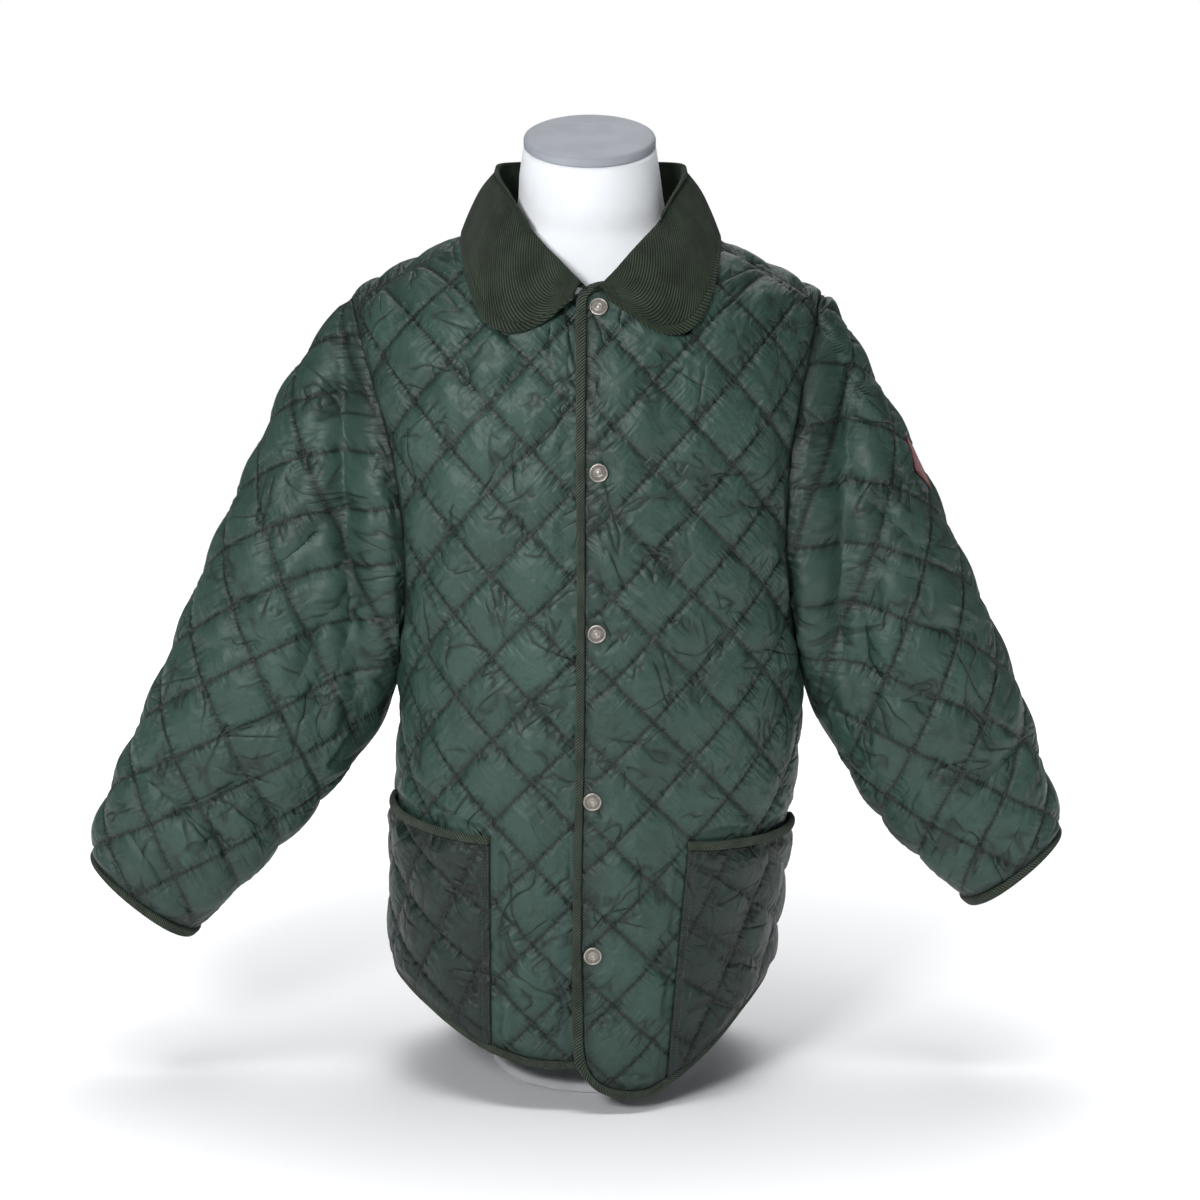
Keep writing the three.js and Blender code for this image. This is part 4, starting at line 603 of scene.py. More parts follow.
def sleeve_point(hand, across, along):
    sleeve = SLEEVES[hand]
    angle = sleeve_angle(sleeve, across, along)
    seam = read(sleeve["armhole"], "angle", angle)
    points = ring_point(sleeve, angle, along)
    share = smooth_step(seam["along"] - ARMHOLE_BLEND, seam["along"], along)
    points += np.stack([seam["dx"], seam["dy"], seam["dz"]], axis=1) * share[:, None]
    behind = angle * sleeve["x"] > 0
    facing = smooth_step(0.2, 0.75, np.abs(np.sin(angle)))
    free = 1 - smooth_step(seam["along"] - 26, seam["along"] - 4, along)
    push = fold_push(hand, points[:, 0], points[:, 2], behind) * facing * free
    points[:, 1] += np.where(behind, -push, push)
    return points


def sleeve_lifted(hand, across, along, lift):
    across, along, lift = as_rows(across, along, lift)

    def surface(a, b):
        return sleeve_point(hand, a, b)

    sleeve = SLEEVES[hand]
    seam = read(sleeve["armhole"], "angle", sleeve_angle(sleeve, across, along))
    share = smooth_step(seam["along"] - 24, seam["along"], along)[:, None]
    body_normal = np.stack([seam["nx"], seam["ny"], seam["nz"]], axis=1)
    normal = unit(normals(surface, across, along) * (1 - share) + body_normal * share)
    return surface(across, along) + normal * lift[:, None]


for sleeve in SLEEVES.values():
    prepare_sleeve(sleeve)


# Cutting lines in pattern space


def plan_to_pattern(face, x, y):
    """A place in plan on the shoulders, as across and along on one face."""
    x = np.atleast_1d(np.asarray(x, float))
    y = np.atleast_1d(np.asarray(y, float))
    own = (y < 0) == (face == "front")
    across = np.zeros_like(x)
    along = np.zeros_like(x)
    for measured, chosen in ((face, own), (other_face(face), ~own)):
        if not chosen.any():
            continue
        at = np.full(chosen.sum(), BEND_START + 200.0)
        for _ in range(8):
            centre, half_width, _ = body_section(measured, at)
            share = np.minimum(np.abs(x[chosen] - centre) / half_width, 0.999)
            x_sign = np.where(x[chosen] < centre, -1.0, 1.0)
            angle = np.arcsin(share ** (RING_POWER / 2))
            _, depth, _, lengths = column_at(measured, x_sign, angle, at)
            bend = np.arccos(np.minimum(np.abs(y[chosen]) / depth, 1) ** (COLUMN_POWER / 2))
            length = angle_to_length(lengths, bend)
            at = BEND_START + length
        if measured != face:
            beyond = column_length(measured, x_sign, angle) - length
            at = BEND_START + column_length(face, x_sign, angle) + beyond
        across[chosen] = angle_to_across(face, x_sign, angle, at)
        along[chosen] = at
    return across, along


def height_to_along(across, height):
    low = 0.0
    high = BEND_START + 190.0
    for _ in range(28):
        middle = (low + high) / 2
        if front_surface(np.array([float(across)]), np.array([middle]))[0, 2] < height:
            low = middle
        else:
            high = middle
    return (low + high) / 2


def side_across(face, x_sign, along):
    along = np.atleast_1d(np.asarray(along, float))
    signs = np.full_like(along, float(x_sign))
    return angle_to_across(face, signs, np.full_like(along, math.pi / 2), along)


def directions(points):
    """The direction of a line at each of its points."""
    before = np.concatenate([points[:1], points[:-1]])
    after = np.concatenate([points[1:], points[-1:]])
    return unit(after - before)


def moved_in(points, distance):
    run = directions(points)
    return points + np.stack([-run[:, 1], run[:, 0]], axis=1) * distance


def hem_points(columns, low, high, count):
    across = np.linspace(low, high, count + 1)
    return np.stack([across, read(columns, "across", across)["height"]], axis=1)


def resampled(points, spacing):
    """The same line with evenly spaced points and softened corners."""
    length = np.concatenate([[0], np.cumsum(np.linalg.norm(np.diff(points, axis=0), axis=1))])
    even = np.linspace(0, length[-1], max(int(round(length[-1] / spacing)), 2) + 1)
    line = np.stack([np.interp(even, length, column) for column in points.T], axis=1)
    for _ in range(2):
        line[1:-1] = (line[:-2] + 2 * line[1:-1] + line[2:]) / 4
    return line


def side_edge(face, x_sign, from_height):
    low = np.linspace(from_height, ARMHOLE_BOTTOM - 1, 60)
    lower = np.stack([side_across(face, x_sign, low), low], axis=1)
    up = 0.5 - 0.5 * np.cos(np.linspace(0, math.pi, 91)[1:])
    upper = np.stack(armhole_place(x_sign, face, up), axis=1)
    return moved_in(np.concatenate([lower, upper]), face_side(face) * x_sign * SEAM_GAP)


def neck_place(face, x_sign, y):
    around = np.interp(y, NECKLINE["y"], NECKLINE["around"])
    for _ in range(12):
        around -= (read(NECKLINE, "around", around)["y"][0] - y) * 0.8
    x = NECK_CENTRE_X + x_sign * read(NECKLINE, "around", around)["x"][0]
    centre, half_width, _ = body_section(face, BEND_START + 260)
    return math.asin((abs(x - centre[0]) / half_width[0]) ** (RING_POWER / 2)), around


def shoulder_edge(face, x_sign, offset, steps=40):
    one = np.ones(1)
    crest = BEND_START + column_length(face, x_sign * one, (math.pi / 2 - ARMHOLE_TIP) * one)[0]
    cut = read(ARMHOLE_EDGE, "up", 1 - SHOULDER_SEAM_FORWARD / (crest - ARMHOLE_BOTTOM))["front"][0]
    tip = math.pi / 2 - math.radians(cut)
    angle = np.linspace(tip, neck_place(face, x_sign, -SHOULDER_SEAM_FORWARD)[0], steps + 1)
    signs = np.full_like(angle, float(x_sign))
    along = BEND_START + column_length(face, signs, angle) + offset
    across = angle_to_across(face, signs, angle, along)
    across[0] -= face_side(face) * x_sign * SEAM_GAP
    return np.stack([across, along], axis=1)


def neck_edge(face, x_sign, low, high, steps=40):
    row = read(NECKLINE, "around", np.linspace(low, high, steps + 1))
    return np.stack(plan_to_pattern(face, NECK_CENTRE_X + x_sign * row["x"], row["y"]), axis=1)


def over_edge(along):
    return read(OVER_EDGE, "height", along)["across"]


# Where the cut edges start, end and turn
EDGE_SPACING = 4
HEM_STEPS = 120
UPRIGHT_STEP = 6
UNDER_NECK_Y = -103
UNDER_SIDE_ALONG = 104
UNDER_HEM_END = 27
UNDER_UPRIGHT_START = 84
UNDER_UPRIGHT_SHORT = 8
OVER_NECK_Y = -104
OVER_SIDE_ALONG = 102
OVER_HEM_START = -20
OVER_UPRIGHT_END = 74
OVER_CORNER = -13
BACK_SIDE_ALONG = 100
ABOVE_ALL = 900


def bound_hem(columns, low, high):
    return moved_in(hem_points(columns, low, high, HEM_STEPS), BINDING_WIDTH)


neck_under = plan_to_pattern("front", UNDER_EDGE, UNDER_NECK_Y)[1][0]
hem_under = bound_hem(HEM_UNDER, side_across("front", -1, UNDER_SIDE_ALONG)[0], UNDER_HEM_END)
upright = np.arange(UNDER_UPRIGHT_START, neck_under - UNDER_UPRIGHT_SHORT, UPRIGHT_STEP)
upright = np.stack([np.full_like(upright, float(UNDER_EDGE), float), upright], axis=1)
hem_run = hem_under[hem_under[:, 0] < UNDER_EDGE + 1]
under_path = resampled(np.concatenate([hem_run, upright]), EDGE_SPACING)
over_top = plan_to_pattern("front", over_edge(ABOVE_ALL)[0], OVER_NECK_Y)[1][0]
hem_over = bound_hem(HEM_OVER, OVER_HEM_START, side_across("front", 1, OVER_SIDE_ALONG)[0])
downward = np.arange(over_top - UPRIGHT_STEP, OVER_UPRIGHT_END, -UPRIGHT_STEP)
downward = np.stack([over_edge(downward), downward], axis=1)
over_path = resampled(np.concatenate([downward, hem_over[hem_over[:, 0] > OVER_CORNER]]), EDGE_SPACING)
back_ends = [side_across("back", x_sign, BACK_SIDE_ALONG)[0] for x_sign in (1, -1)]
back_path = resampled(bound_hem(HEM_BACK, *back_ends), EDGE_SPACING)

# How far past a seam the neckline starts, and how far clear of the hem and the shoulder a side ends
NECK_PAST_SEAM = 2
SIDE_CLEAR = 3
NECK_END = {"under": 1, "over": 3, "back": 178}


def under_outline():
    side = side_edge("front", -1, hem_under[0][1] + SIDE_CLEAR)
    shoulder = shoulder_edge("front", -1, -SHOULDER_SEAM_FORWARD - SEAM_GAP)
    start = neck_place("front", -1, -SHOULDER_SEAM_FORWARD - NECK_PAST_SEAM)[1]
    neck = neck_edge("front", -1, start, NECK_END["under"])
    path = under_path[under_path[:, 0] > side[0][0] + 2]
    corner = np.array([[UNDER_EDGE, neck_under - 2]])
    side = side[side[:, 1] < shoulder[0][1] - SIDE_CLEAR]
    return np.concatenate([path, corner, neck[::-1], shoulder[1:][::-1], side[::-1]])


def over_outline():
    side = side_edge("front", 1, hem_over[-1][1] + SIDE_CLEAR)
    shoulder = shoulder_edge("front", 1, -SHOULDER_SEAM_FORWARD - SEAM_GAP)
    start = neck_place("front", 1, -SHOULDER_SEAM_FORWARD - NECK_PAST_SEAM)[1]
    neck = neck_edge("front", 1, start, NECK_END["over"])
    path = over_path[over_path[:, 0] < side[0][0] - 2]
    side = side[side[:, 1] < shoulder[0][1] - SIDE_CLEAR]
    return np.concatenate([path, side, shoulder[:-1], neck])


def back_outline():
    offset = SHOULDER_SEAM_FORWARD - SEAM_GAP
    right = side_edge("back", -1, back_path[-1][1] + SIDE_CLEAR)
    left = side_edge("back", 1, back_path[0][1] + SIDE_CLEAR)
    start = neck_place("back", -1, -SHOULDER_SEAM_FORWARD + NECK_PAST_SEAM)[1]
    path = back_path[(back_path[:, 0] > left[0][0] + 2) & (back_path[:, 0] < right[0][0] - 2)]
    return np.concatenate(
        [
            path,
            right,
            shoulder_edge("back", -1, offset),
            neck_edge("back", -1, start, NECK_END["back"])[1:],
            neck_edge("back", 1, NECK_END["back"], start)[:-1],
            shoulder_edge("back", 1, offset)[::-1],
            left[::-1],
        ]
    )


# Under the arm the sleeve's edge drops a little further, between these angles from its outer fold
UNDERARM_EASE = (1.7, 2.6)
UNDERARM_SHORT = 2.6


def sleeve_outline(hand):
    sleeve = SLEEVES[hand]

    def half(along):
        return sleeve_across(sleeve, math.pi, along) - SEAM_GAP

    cuff = np.linspace(-1, 1, 120) * half(BINDING_WIDTH)[0]
    lower = np.stack([cuff, np.full_like(cuff, float(BINDING_WIDTH))], axis=1)
    bottom = read(sleeve["armhole"], "angle", math.pi)["along"][0] - UNDERARM_SHORT
    rise = np.linspace(BINDING_WIDTH, bottom, 90)[1:-1]
    side = np.stack([half(rise), rise], axis=1)
    angle = np.linspace(math.pi, -math.pi, 181)
    seam = read(sleeve["armhole"], "angle", angle)["along"]
    along = seam - ARMHOLE_GAP - smooth_step(*UNDERARM_EASE, np.abs(angle))
    limit = half(along)
    across = np.clip(sleeve_across(sleeve, angle, along), -limit, limit)
    return np.concatenate([lower, side, np.stack([across, along], 1), (side * (-1, 1))[::-1]])


def pocket_inner(pocket, along):
    share = np.clip((pocket["top_inner"] - along) / pocket["top_inner"], 0, 1)
    return pocket["inner_top"] + (pocket["inner_bottom"] - pocket["inner_top"]) * share


def pocket_top(pocket, across):
    side = side_across("front", pocket["x"], pocket["top_side"])[0]
    share = (across - pocket["inner_top"]) / (side - pocket["inner_top"])
    return pocket["top_inner"] + (pocket["top_side"] - pocket["top_inner"]) * share


def pocket_outline(pocket, hem, cut):
    x_sign = pocket["x"]
    lowest = read(hem, "across", pocket["inner_bottom"])["height"][0] + BINDING_WIDTH + 2
    rise = np.linspace(lowest, pocket_top(pocket, pocket["inner_top"]) - 1, 50)
    inner = np.stack([pocket_inner(pocket, rise), rise], axis=1)
    side_low = cut[np.argmax(x_sign * cut[:, 0])]
    rise = np.linspace(side_low[1] + 3, pocket["top_side"] - 1, 40)
    outer = np.stack([side_across("front", x_sign, rise) - x_sign, rise], axis=1)
    inside = (x_sign * (cut[:, 0] - inner[0][0]) > 3) & (x_sign * (outer[0][0] - cut[:, 0]) > 3)
    bottom = cut[inside] + (0, 0.4)
    across = np.linspace(outer[-1][0], inner[-1][0], 40)[1:-1]
    top = np.stack([across, pocket_top(pocket, across) - 1], axis=1)
    if x_sign > 0:
        return np.concatenate([bottom, outer, top, inner[::-1]])
    return np.concatenate([inner, top[::-1], outer[::-1], bottom])[::-1]


# Quilting


def quilt_lattice(u, v, origin):
    return {"u": u, "v": v, "origin": origin}


HALF_DIAMOND = (DIAMOND_WIDTH / 2, DIAMOND_HEIGHT / 2)
MIRRORED_HALF = (-DIAMOND_WIDTH / 2, DIAMOND_HEIGHT / 2)
FRONT_LATTICE = quilt_lattice(HALF_DIAMOND, MIRRORED_HALF, (-20.6, 588.3))
OVER_LATTICE = quilt_lattice(HALF_DIAMOND, MIRRORED_HALF, (15.3, 571.4))
BACK_LATTICE = quilt_lattice(HALF_DIAMOND, MIRRORED_HALF, (0.7, 582.9))
SLEEVE_LATTICE = quilt_lattice(HALF_DIAMOND, MIRRORED_HALF, (1.3, 8.7))
POCKET_LATTICE = quilt_lattice((22, 44), (-44, 30), (3.7, 5.3))


def cells_at(lattice, x, y):
    """A pattern place, as numbers of diamonds along the two stitched directions."""
    (ux, uy), (vx, vy) = lattice["u"], lattice["v"]
    area = ux * vy - uy * vx
    dx = x - lattice["origin"][0]
    dy = y - lattice["origin"][1]
    return (dx * vy - dy * vx) / area, (dy * ux - dx * uy) / area


def place_at(lattice, a, b):
    (ux, uy), (vx, vy) = lattice["u"], lattice["v"]
    x, y = lattice["origin"]
    return np.stack([x + a * ux + b * vx, y + a * uy + b * vy], axis=-1)


def scatter(a, b, seed):
    """An even spread of values from 0 to 1, one for each pair of whole numbers."""
    mixed = np.sin(a * 12.9898 + b * 78.233 + seed * 37.719) * 43758.5453
    return mixed - np.floor(mixed)


def quilt_height(lattice, x, y):
    """Height of the wadding over its stitched lines, each diamond a little different."""
    a, b = cells_at(lattice, x, y)
    column = np.floor(a)
    row = np.floor(b)
    s = a - column
    t = b - row
    crown = np.clip(np.sin(math.pi * s) * np.sin(math.pi * t), 0, 1) ** PUFF_POWER
    fullness = PUFF_LEAST + PUFF_SPREAD * scatter(column, row, 1)
    lean = PUFF_LEAN * (scatter(column, row, 2) - 0.5) * np.cos(math.pi * s)
    lean += PUFF_LEAN * (scatter(column, row, 3) - 0.5) * np.cos(math.pi * t)
    height = PUFF * crown * (fullness + lean)
    rest = 1 - LEAST_GATHERED
    for beside, along, turn in ((b, a, 0.0), (a, b, 2.0)):
        line = np.round(beside)
        distance = np.abs(beside - line) * math.hypot(*lattice["u"])
        near = np.exp(-distance / GATHER_REACH) * (1 - np.exp(-distance / GATHER_START))
        wave = np.sin(2 * math.pi * (4.3 * along + 0.37 * line) + turn)
        wave += 0.8 * np.sin(2 * math.pi * (7.1 * along + 0.61 * line) + 1.3 + turn)
        height += near * wave * (LEAST_GATHERED + rest * scatter(line, np.floor(along * 2), 4))
    return height + crumple_height(x, y) * (LEAST_GATHERED + rest * crown)


def crumple_height(x, y):
    """Short soft creases in all directions, as in thin cloth that has been worn and packed."""
    bend_x = x + 7 * np.sin(y / 19.0) + 4 * np.sin(y / 8.3 + 2 * np.sin(x / 23.0))
    bend_y = y + 6 * np.sin(x / 17.0) + 4 * np.sin(x / 9.1 + 2 * np.sin(y / 29.0))
    height = np.zeros_like(x)
    for turn, size, amount in CRUMPLES:
        wave = (bend_x * math.cos(turn) + bend_y * math.sin(turn)) / size
        fading = bend_x * math.sin(turn) / (size * 1.7) - bend_y * math.cos(turn) / (size * 2.3)
        height += amount * (0.5 + 0.5 * np.sin(fading)) * (0.64 - np.abs(np.sin(wave)))
    return height


def outline_distance(outline, x, y):
    nearest = np.full(x.shape, np.inf)
    for start, end in zip(outline, np.roll(outline, -1, axis=0)):
        run = end - start
        t = np.clip(((x - start[0]) * run[0] + (y - start[1]) * run[1]) / max(run @ run, 1e-9), 0, 1)
        nearest = np.minimum(nearest, np.hypot(x - start[0] - t * run[0], y - start[1] - t * run[1]))
    return nearest


def inside(outline, x, y):
    found = np.zeros(x.shape, bool)
    for start, end in zip(outline, np.roll(outline, -1, axis=0)):
        crosses = (start[1] > y) != (end[1] > y)
        rise = end[1] - start[1] if end[1] != start[1] else 1e-9
        found ^= crosses & (x < start[0] + (y - start[1]) * (end[0] - start[0]) / rise)
    return found


def even_outline(outline, spacing):
    """The outline anticlockwise, with crowded points dropped and long stretches divided."""
    following = np.roll(outline, -1, axis=0)
    if (outline[:, 0] * following[:, 1] - following[:, 0] * outline[:, 1]).sum() < 0:
        outline = outline[::-1]
    kept = [outline[0]]
    for point in outline[1:]:
        if np.hypot(*(point - kept[-1])) > spacing * 0.35:
            kept.append(point)
    if np.hypot(*(kept[-1] - kept[0])) < spacing * 0.35:
        kept.pop()
    points = []
    for start, end in zip(kept, kept[1:] + kept[:1]):
        count = max(int(np.hypot(*(end - start)) / spacing), 1)
        points += [start + (end - start) * k / count for k in range(count)]
    return np.array(points)


def flat_mesh(outline, grid):
    """Triangles between an outline and the grid points inside it.

    The third result gives each outline point's place among the points.
    """
    points = np.concatenate([outline, grid])
    ring = [(k, (k + 1) % len(outline)) for k in range(len(outline))]
    made = geometry.delaunay_2d_cdt([Vector(point) for point in points], ring, [], 1, 1e-5)
    where = {}
    for index, sources in enumerate(made[3]):
        for source in sources:
            where[source] = index
    order = np.array([where[k] for k in range(len(outline))])
    return np.array([point[:] for point in made[0]]), [tuple(face) for face in made[2]], order


def lattice_spans(lattice, outline):
    """The whole numbers of diamonds that an outline lies between, along each stitched direction."""
    x, y = outline.T
    corners = [cells_at(lattice, cx, cy) for cx in (x.min(), x.max()) for cy in (y.min(), y.max())]
    return [(math.floor(min(values)), math.ceil(max(values))) for values in zip(*corners)]


def lattice_grid(lattice, outline, per_diamond, clear):
    spans = [
        np.arange(low * per_diamond, high * per_diamond + 1) / per_diamond
        for low, high in lattice_spans(lattice, outline)
    ]
    a, b = np.meshgrid(*spans)
    places = place_at(lattice, a.ravel(), b.ravel())
    boxed = (places > outline.min(axis=0)).all(axis=1) & (places < outline.max(axis=0)).all(axis=1)
    places = places[boxed]
    places = places[inside(outline, places[:, 0], places[:, 1])]
    return places[outline_distance(outline, places[:, 0], places[:, 1]) > clear]


def no_limit(x, y):
    return np.full_like(x, np.inf)


class Panel:
    """One quilted piece of cloth: its outline in pattern space, and its outer face over it."""

    def __init__(self, outline, lattice, wrap, limit=no_limit):
        self.outline = even_outline(outline, OUTLINE_SPACING)
        self.lattice = lattice
        self.wrap = wrap
        self.limit = limit

    def height(self, x, y):
        edge = outline_distance(self.outline, x, y)
        pinch = SEAM_THINNEST + (1 - SEAM_THINNEST) * smooth_step(0, SEAM_PINCH, edge)
        height = STITCHED_THICKNESS + quilt_height(self.lattice, x, y) * pinch
        return np.minimum(height, self.limit(x, y))

    def mesh(self, name, finish):
        grid = lattice_grid(self.lattice, self.outline, GRID_PER_DIAMOND, 1.3)
        outer, outer_faces, outer_ring = flat_mesh(self.outline, grid)
        grid = lattice_grid(self.lattice, self.outline, INSIDE_GRID, 4)
        inner, inner_faces, inner_ring = flat_mesh(self.outline, grid)
        edge = outline_distance(self.outline, outer[:, 0], outer[:, 1])
        face = self.wrap(outer[:, 0], outer[:, 1], self.height(outer[:, 0], outer[:, 1]))
        lining = self.wrap(inner[:, 0], inner[:, 1], np.zeros(len(inner)))
        base = len(outer)
        faces = outer_faces + [(base + a, base + c, base + b) for a, b, c in inner_faces]
        count = len(outer_ring)
        for k in range(count):
            n = (k + 1) % count
            faces.append((outer_ring[n], outer_ring[k], base + inner_ring[k], base + inner_ring[n]))
        flat = np.concatenate([outer, inner])
        cells = np.stack(cells_at(self.lattice, flat[:, 0], flat[:, 1]), axis=1)
        piece = cloth_object(name, np.concatenate([face, lining]), faces, finish)
        lay_uv(piece, "pattern", flat * MM)
        lay_uv(piece, "quilt", cells)
        mark(piece, "edge", np.concatenate([edge, np.zeros(len(inner))]))
        mark(piece, "lining", np.concatenate([np.zeros(len(outer)), np.ones(len(inner))]))
        self.piece = piece
        return piece

    def flat_size(self):
        width, length = np.ptp(self.outline, axis=0) * MM
        x, y = self.outline.T
        area = abs((x * np.roll(y, -1) - np.roll(x, -1) * y).sum()) / 2 * MM * MM
        return (float(width), float(length)), float(area)

    def stitched_lines(self, clear=3.5, step=1.6):
        """The quilting lines as runs of points on the outer face."""
        (a_low, a_high), (b_low, b_high) = lattice_spans(self.lattice, self.outline)
        runs = []
        share = step / math.hypot(*self.lattice["u"])
        for line in range(a_low, a_high + 1):
            along = np.arange(b_low, b_high, share)
            runs.append(place_at(self.lattice, np.full_like(along, line), along))
        for line in range(b_low, b_high + 1):
            along = np.arange(a_low, a_high, share)
            runs.append(place_at(self.lattice, along, np.full_like(along, line)))
        return self.runs_on_face(runs, clear)

    def runs_on_face(self, runs, clear):
        flat = np.concatenate(runs)
        number = np.concatenate([np.full(len(run), k) for k, run in enumerate(runs)])
        order = np.arange(len(flat))
        kept = inside(self.outline, flat[:, 0], flat[:, 1])
        kept[kept] = outline_distance(self.outline, flat[kept, 0], flat[kept, 1]) > clear
        flat = flat[kept]
        points = self.wrap(flat[:, 0], flat[:, 1], self.height(flat[:, 0], flat[:, 1]) + 0.12)
        joined = (np.diff(order[kept]) == 1) & (np.diff(number[kept]) == 0)
        return points, [(k, k + 1) for k in np.flatnonzero(joined)]


# Objects


def placed(name, mesh):
    piece = bpy.data.objects.new(name, mesh)
    bpy.context.scene.collection.objects.link(piece)
    return piece


def cloth_object(name, points, faces, finish):
    mesh = bpy.data.meshes.new(name)
    mesh.from_pydata((np.asarray(points) * MM).tolist(), [], faces)
    mesh.polygons.foreach_set("use_smooth", [True] * len(mesh.polygons))
    mesh.materials.append(finish)
    return placed(name, mesh)


def lay_uv(piece, name, values):
    mesh = piece.data
    corner = np.zeros(len(mesh.loops), int)
    mesh.loops.foreach_get("vertex_index", corner)
    layer = mesh.uv_layers.new(name=name)
    layer.uv.foreach_set("vector", np.asarray(values, float)[corner].ravel())


def mark(piece, name, values):
    attribute = piece.data.attributes.new(name, "FLOAT", "POINT")
    attribute.data.foreach_set("value", np.asarray(values, np.float32))


def tube_object(name, rows, finish, u, v, closed=False):
    """A closed section carried along rows of points.

    u has one value a row and v one a section point, each with one more where it closes.
    """
    count, size = rows.shape[:2]
    faces = []
    corners = []
    for i in range(count if closed else count - 1):
        n = (i + 1) % count
        for k in range(size):
            m = (k + 1) % size
            faces.append((i * size + k, n * size + k, n * size + m, i * size + m))
            corners += [(u[i], v[k]), (u[i + 1], v[k]), (u[i + 1], v[k + 1]), (u[i], v[k + 1])]
    if not closed:
        last = (count - 1) * size
        faces.append(tuple(range(size)))
        faces.append(tuple(last + k for k in reversed(range(size))))
        corners += [(u[0], v[k]) for k in range(size)]
        corners += [(u[count - 1], v[k]) for k in reversed(range(size))]
    piece = cloth_object(name, rows.reshape(-1, 3), faces, finish)
    piece.data.uv_layers.new(name="pattern").uv.foreach_set("vector", (np.array(corners) * MM).ravel())
    turn_outwards(piece)
    return piece


def turn_outwards(piece):
    shell = bmesh.new()
    shell.from_mesh(piece.data)
    bmesh.ops.recalc_face_normals(shell, faces=shell.faces)
    if shell.calc_volume(signed=True) < 0:
        bmesh.ops.reverse_faces(shell, faces=shell.faces)
    shell.to_mesh(piece.data)
    shell.free()


def rounded(points, closed, steps):
    """A smooth line through rows of points. Each may itself be an array of places."""
    points = np.asarray(points, float)
    count = len(points)
    spans = count if closed else count - 1
    made = []
    for i in range(spans):
        if closed:
            before, start, end, after = (points[(i + k) % count] for k in (-1, 0, 1, 2))
        else:
            before, start, end, after = (points[min(max(i + k, 0), count - 1)] for k in (-1, 0, 1, 2))
        for k in range(steps):
            t = k / steps
            made.append(
                0.5
                * (
                    2 * start
                    + (end - before) * t
                    + (2 * before - 5 * start + 4 * end - after) * t**2
                    + (3 * start - before - 3 * end + after) * t**3
                )
            )
    if not closed:
        made.append(points[-1])
    return np.array(made)


def run_lengths(points, closed=False):
    if closed:
        points = np.concatenate([points, points[:1]])
    return np.concatenate([[0], np.cumsum(np.linalg.norm(np.diff(points, axis=0), axis=1))])


# Bindings
BINDING_SECTION = [
    (0.1, -0.5),
    (3.6, -0.7),
    (6.6, -0.7),
    (8, 1.8),
    (6.8, 4.4),
    (3.6, 5.1),
    (1.2, 5),
    (0.1, 3.9),
]
THIN_BINDING_SECTION = [(0.1, 0), (3.6, -0.1), (7, 0), (8, 2), (7, 4), (3.6, 4.3), (0.1, 3.6)]
BINDING_MIDDLE = 2
BOUND_WIDTH = 0.013


def binding_object(name, path, section, wrap, closed=False):
    ring = rounded(section, True, 4)
    if closed:
        before = np.roll(path, 1, axis=0)
        after = np.roll(path, -1, axis=0)
        before[0, 0] = path[0, 0] - (path[1, 0] - path[0, 0])
        after[-1, 0] = path[-1, 0] + (path[-1, 0] - path[-2, 0])
        run = unit(after - before)
    else:
        run = directions(path)
    length = run_lengths(path)
    swell = 1 + 0.035 * np.sin(length / 17) + 0.03 * np.sin(length / 7.3 + 1)
    off = ring[:, 0][None, :] * np.ones((len(path), 1))
    lift = BINDING_MIDDLE + (ring[:, 1][None, :] - BINDING_MIDDLE) * swell[:, None]
    across = path[:, 0][:, None] + run[:, 1][:, None] * off
    along = path[:, 1][:, None] - run[:, 0][:, None] * off
    points = wrap(across.ravel(), along.ravel(), lift.ravel()).reshape(len(path), len(ring), 3)
    u = np.append(length, length[-1] + (length[-1] - length[-2]))
    return tube_object(name, points, corduroy_binding, u, run_lengths(ring, True), closed)


def edge_stitches(path, wrap, place):
    """A row of stitches beside an edge, so far in from its path and so far up from the cloth."""
    inwards, lift = place
    moved = moved_in(path, inwards)
    points = wrap(moved[:, 0], moved[:, 1], np.full(len(moved), float(lift)))
    return points, [(k, k + 1) for k in range(len(points) - 1)]


def joined_runs(*runs):
    points = []
    edges = []
    count = 0
    for run_points, run_edges in runs:
        edges += [(a + count, b + count) for a, b in run_edges]
        points.append(run_points)
        count += len(run_points)
    return np.concatenate(points), edges


# Shader maths


class Value:
    """A socket, with arithmetic that adds Math nodes to its finish."""

    def __init__(self, finish, socket):
        self.finish = finish
        self.socket = socket

    def math(self, operation, *values):
        inputs = dict(enumerate(values))
        return self.finish.node("ShaderNodeMath", {"operation": operation}, inputs)

    def __add__(self, other):
        return self.math("ADD", self, other)

    __radd__ = __add__

    def __sub__(self, other):
        return self.math("SUBTRACT", self, other)

    def __rsub__(self, other):
        return self.math("SUBTRACT", other, self)

    def __mul__(self, other):
        return self.math("MULTIPLY", self, other)

    __rmul__ = __mul__

    def __pow__(self, other):
        return self.math("POWER", self, other)

    def __neg__(self):
        return self.math("MULTIPLY", self, -1)

    def __abs__(self):
        return self.math("ABSOLUTE", self)

    def sin(self):
        return self.math("SINE", self)

    def rounded(self):
        return self.math("ROUND", self)

    def floor(self):
        return self.math("FLOOR", self)

    def exp(self):
        return self.math("EXPONENT", self)

    def within(self, low, high):
        """0 below low and 1 above high, with a soft change between them."""
        settings = {"interpolation_type": "SMOOTHSTEP"}
        inputs = {"Value": self, "From Min": low, "From Max": high}
        return self.finish.node("ShaderNodeMapRange", settings, inputs)


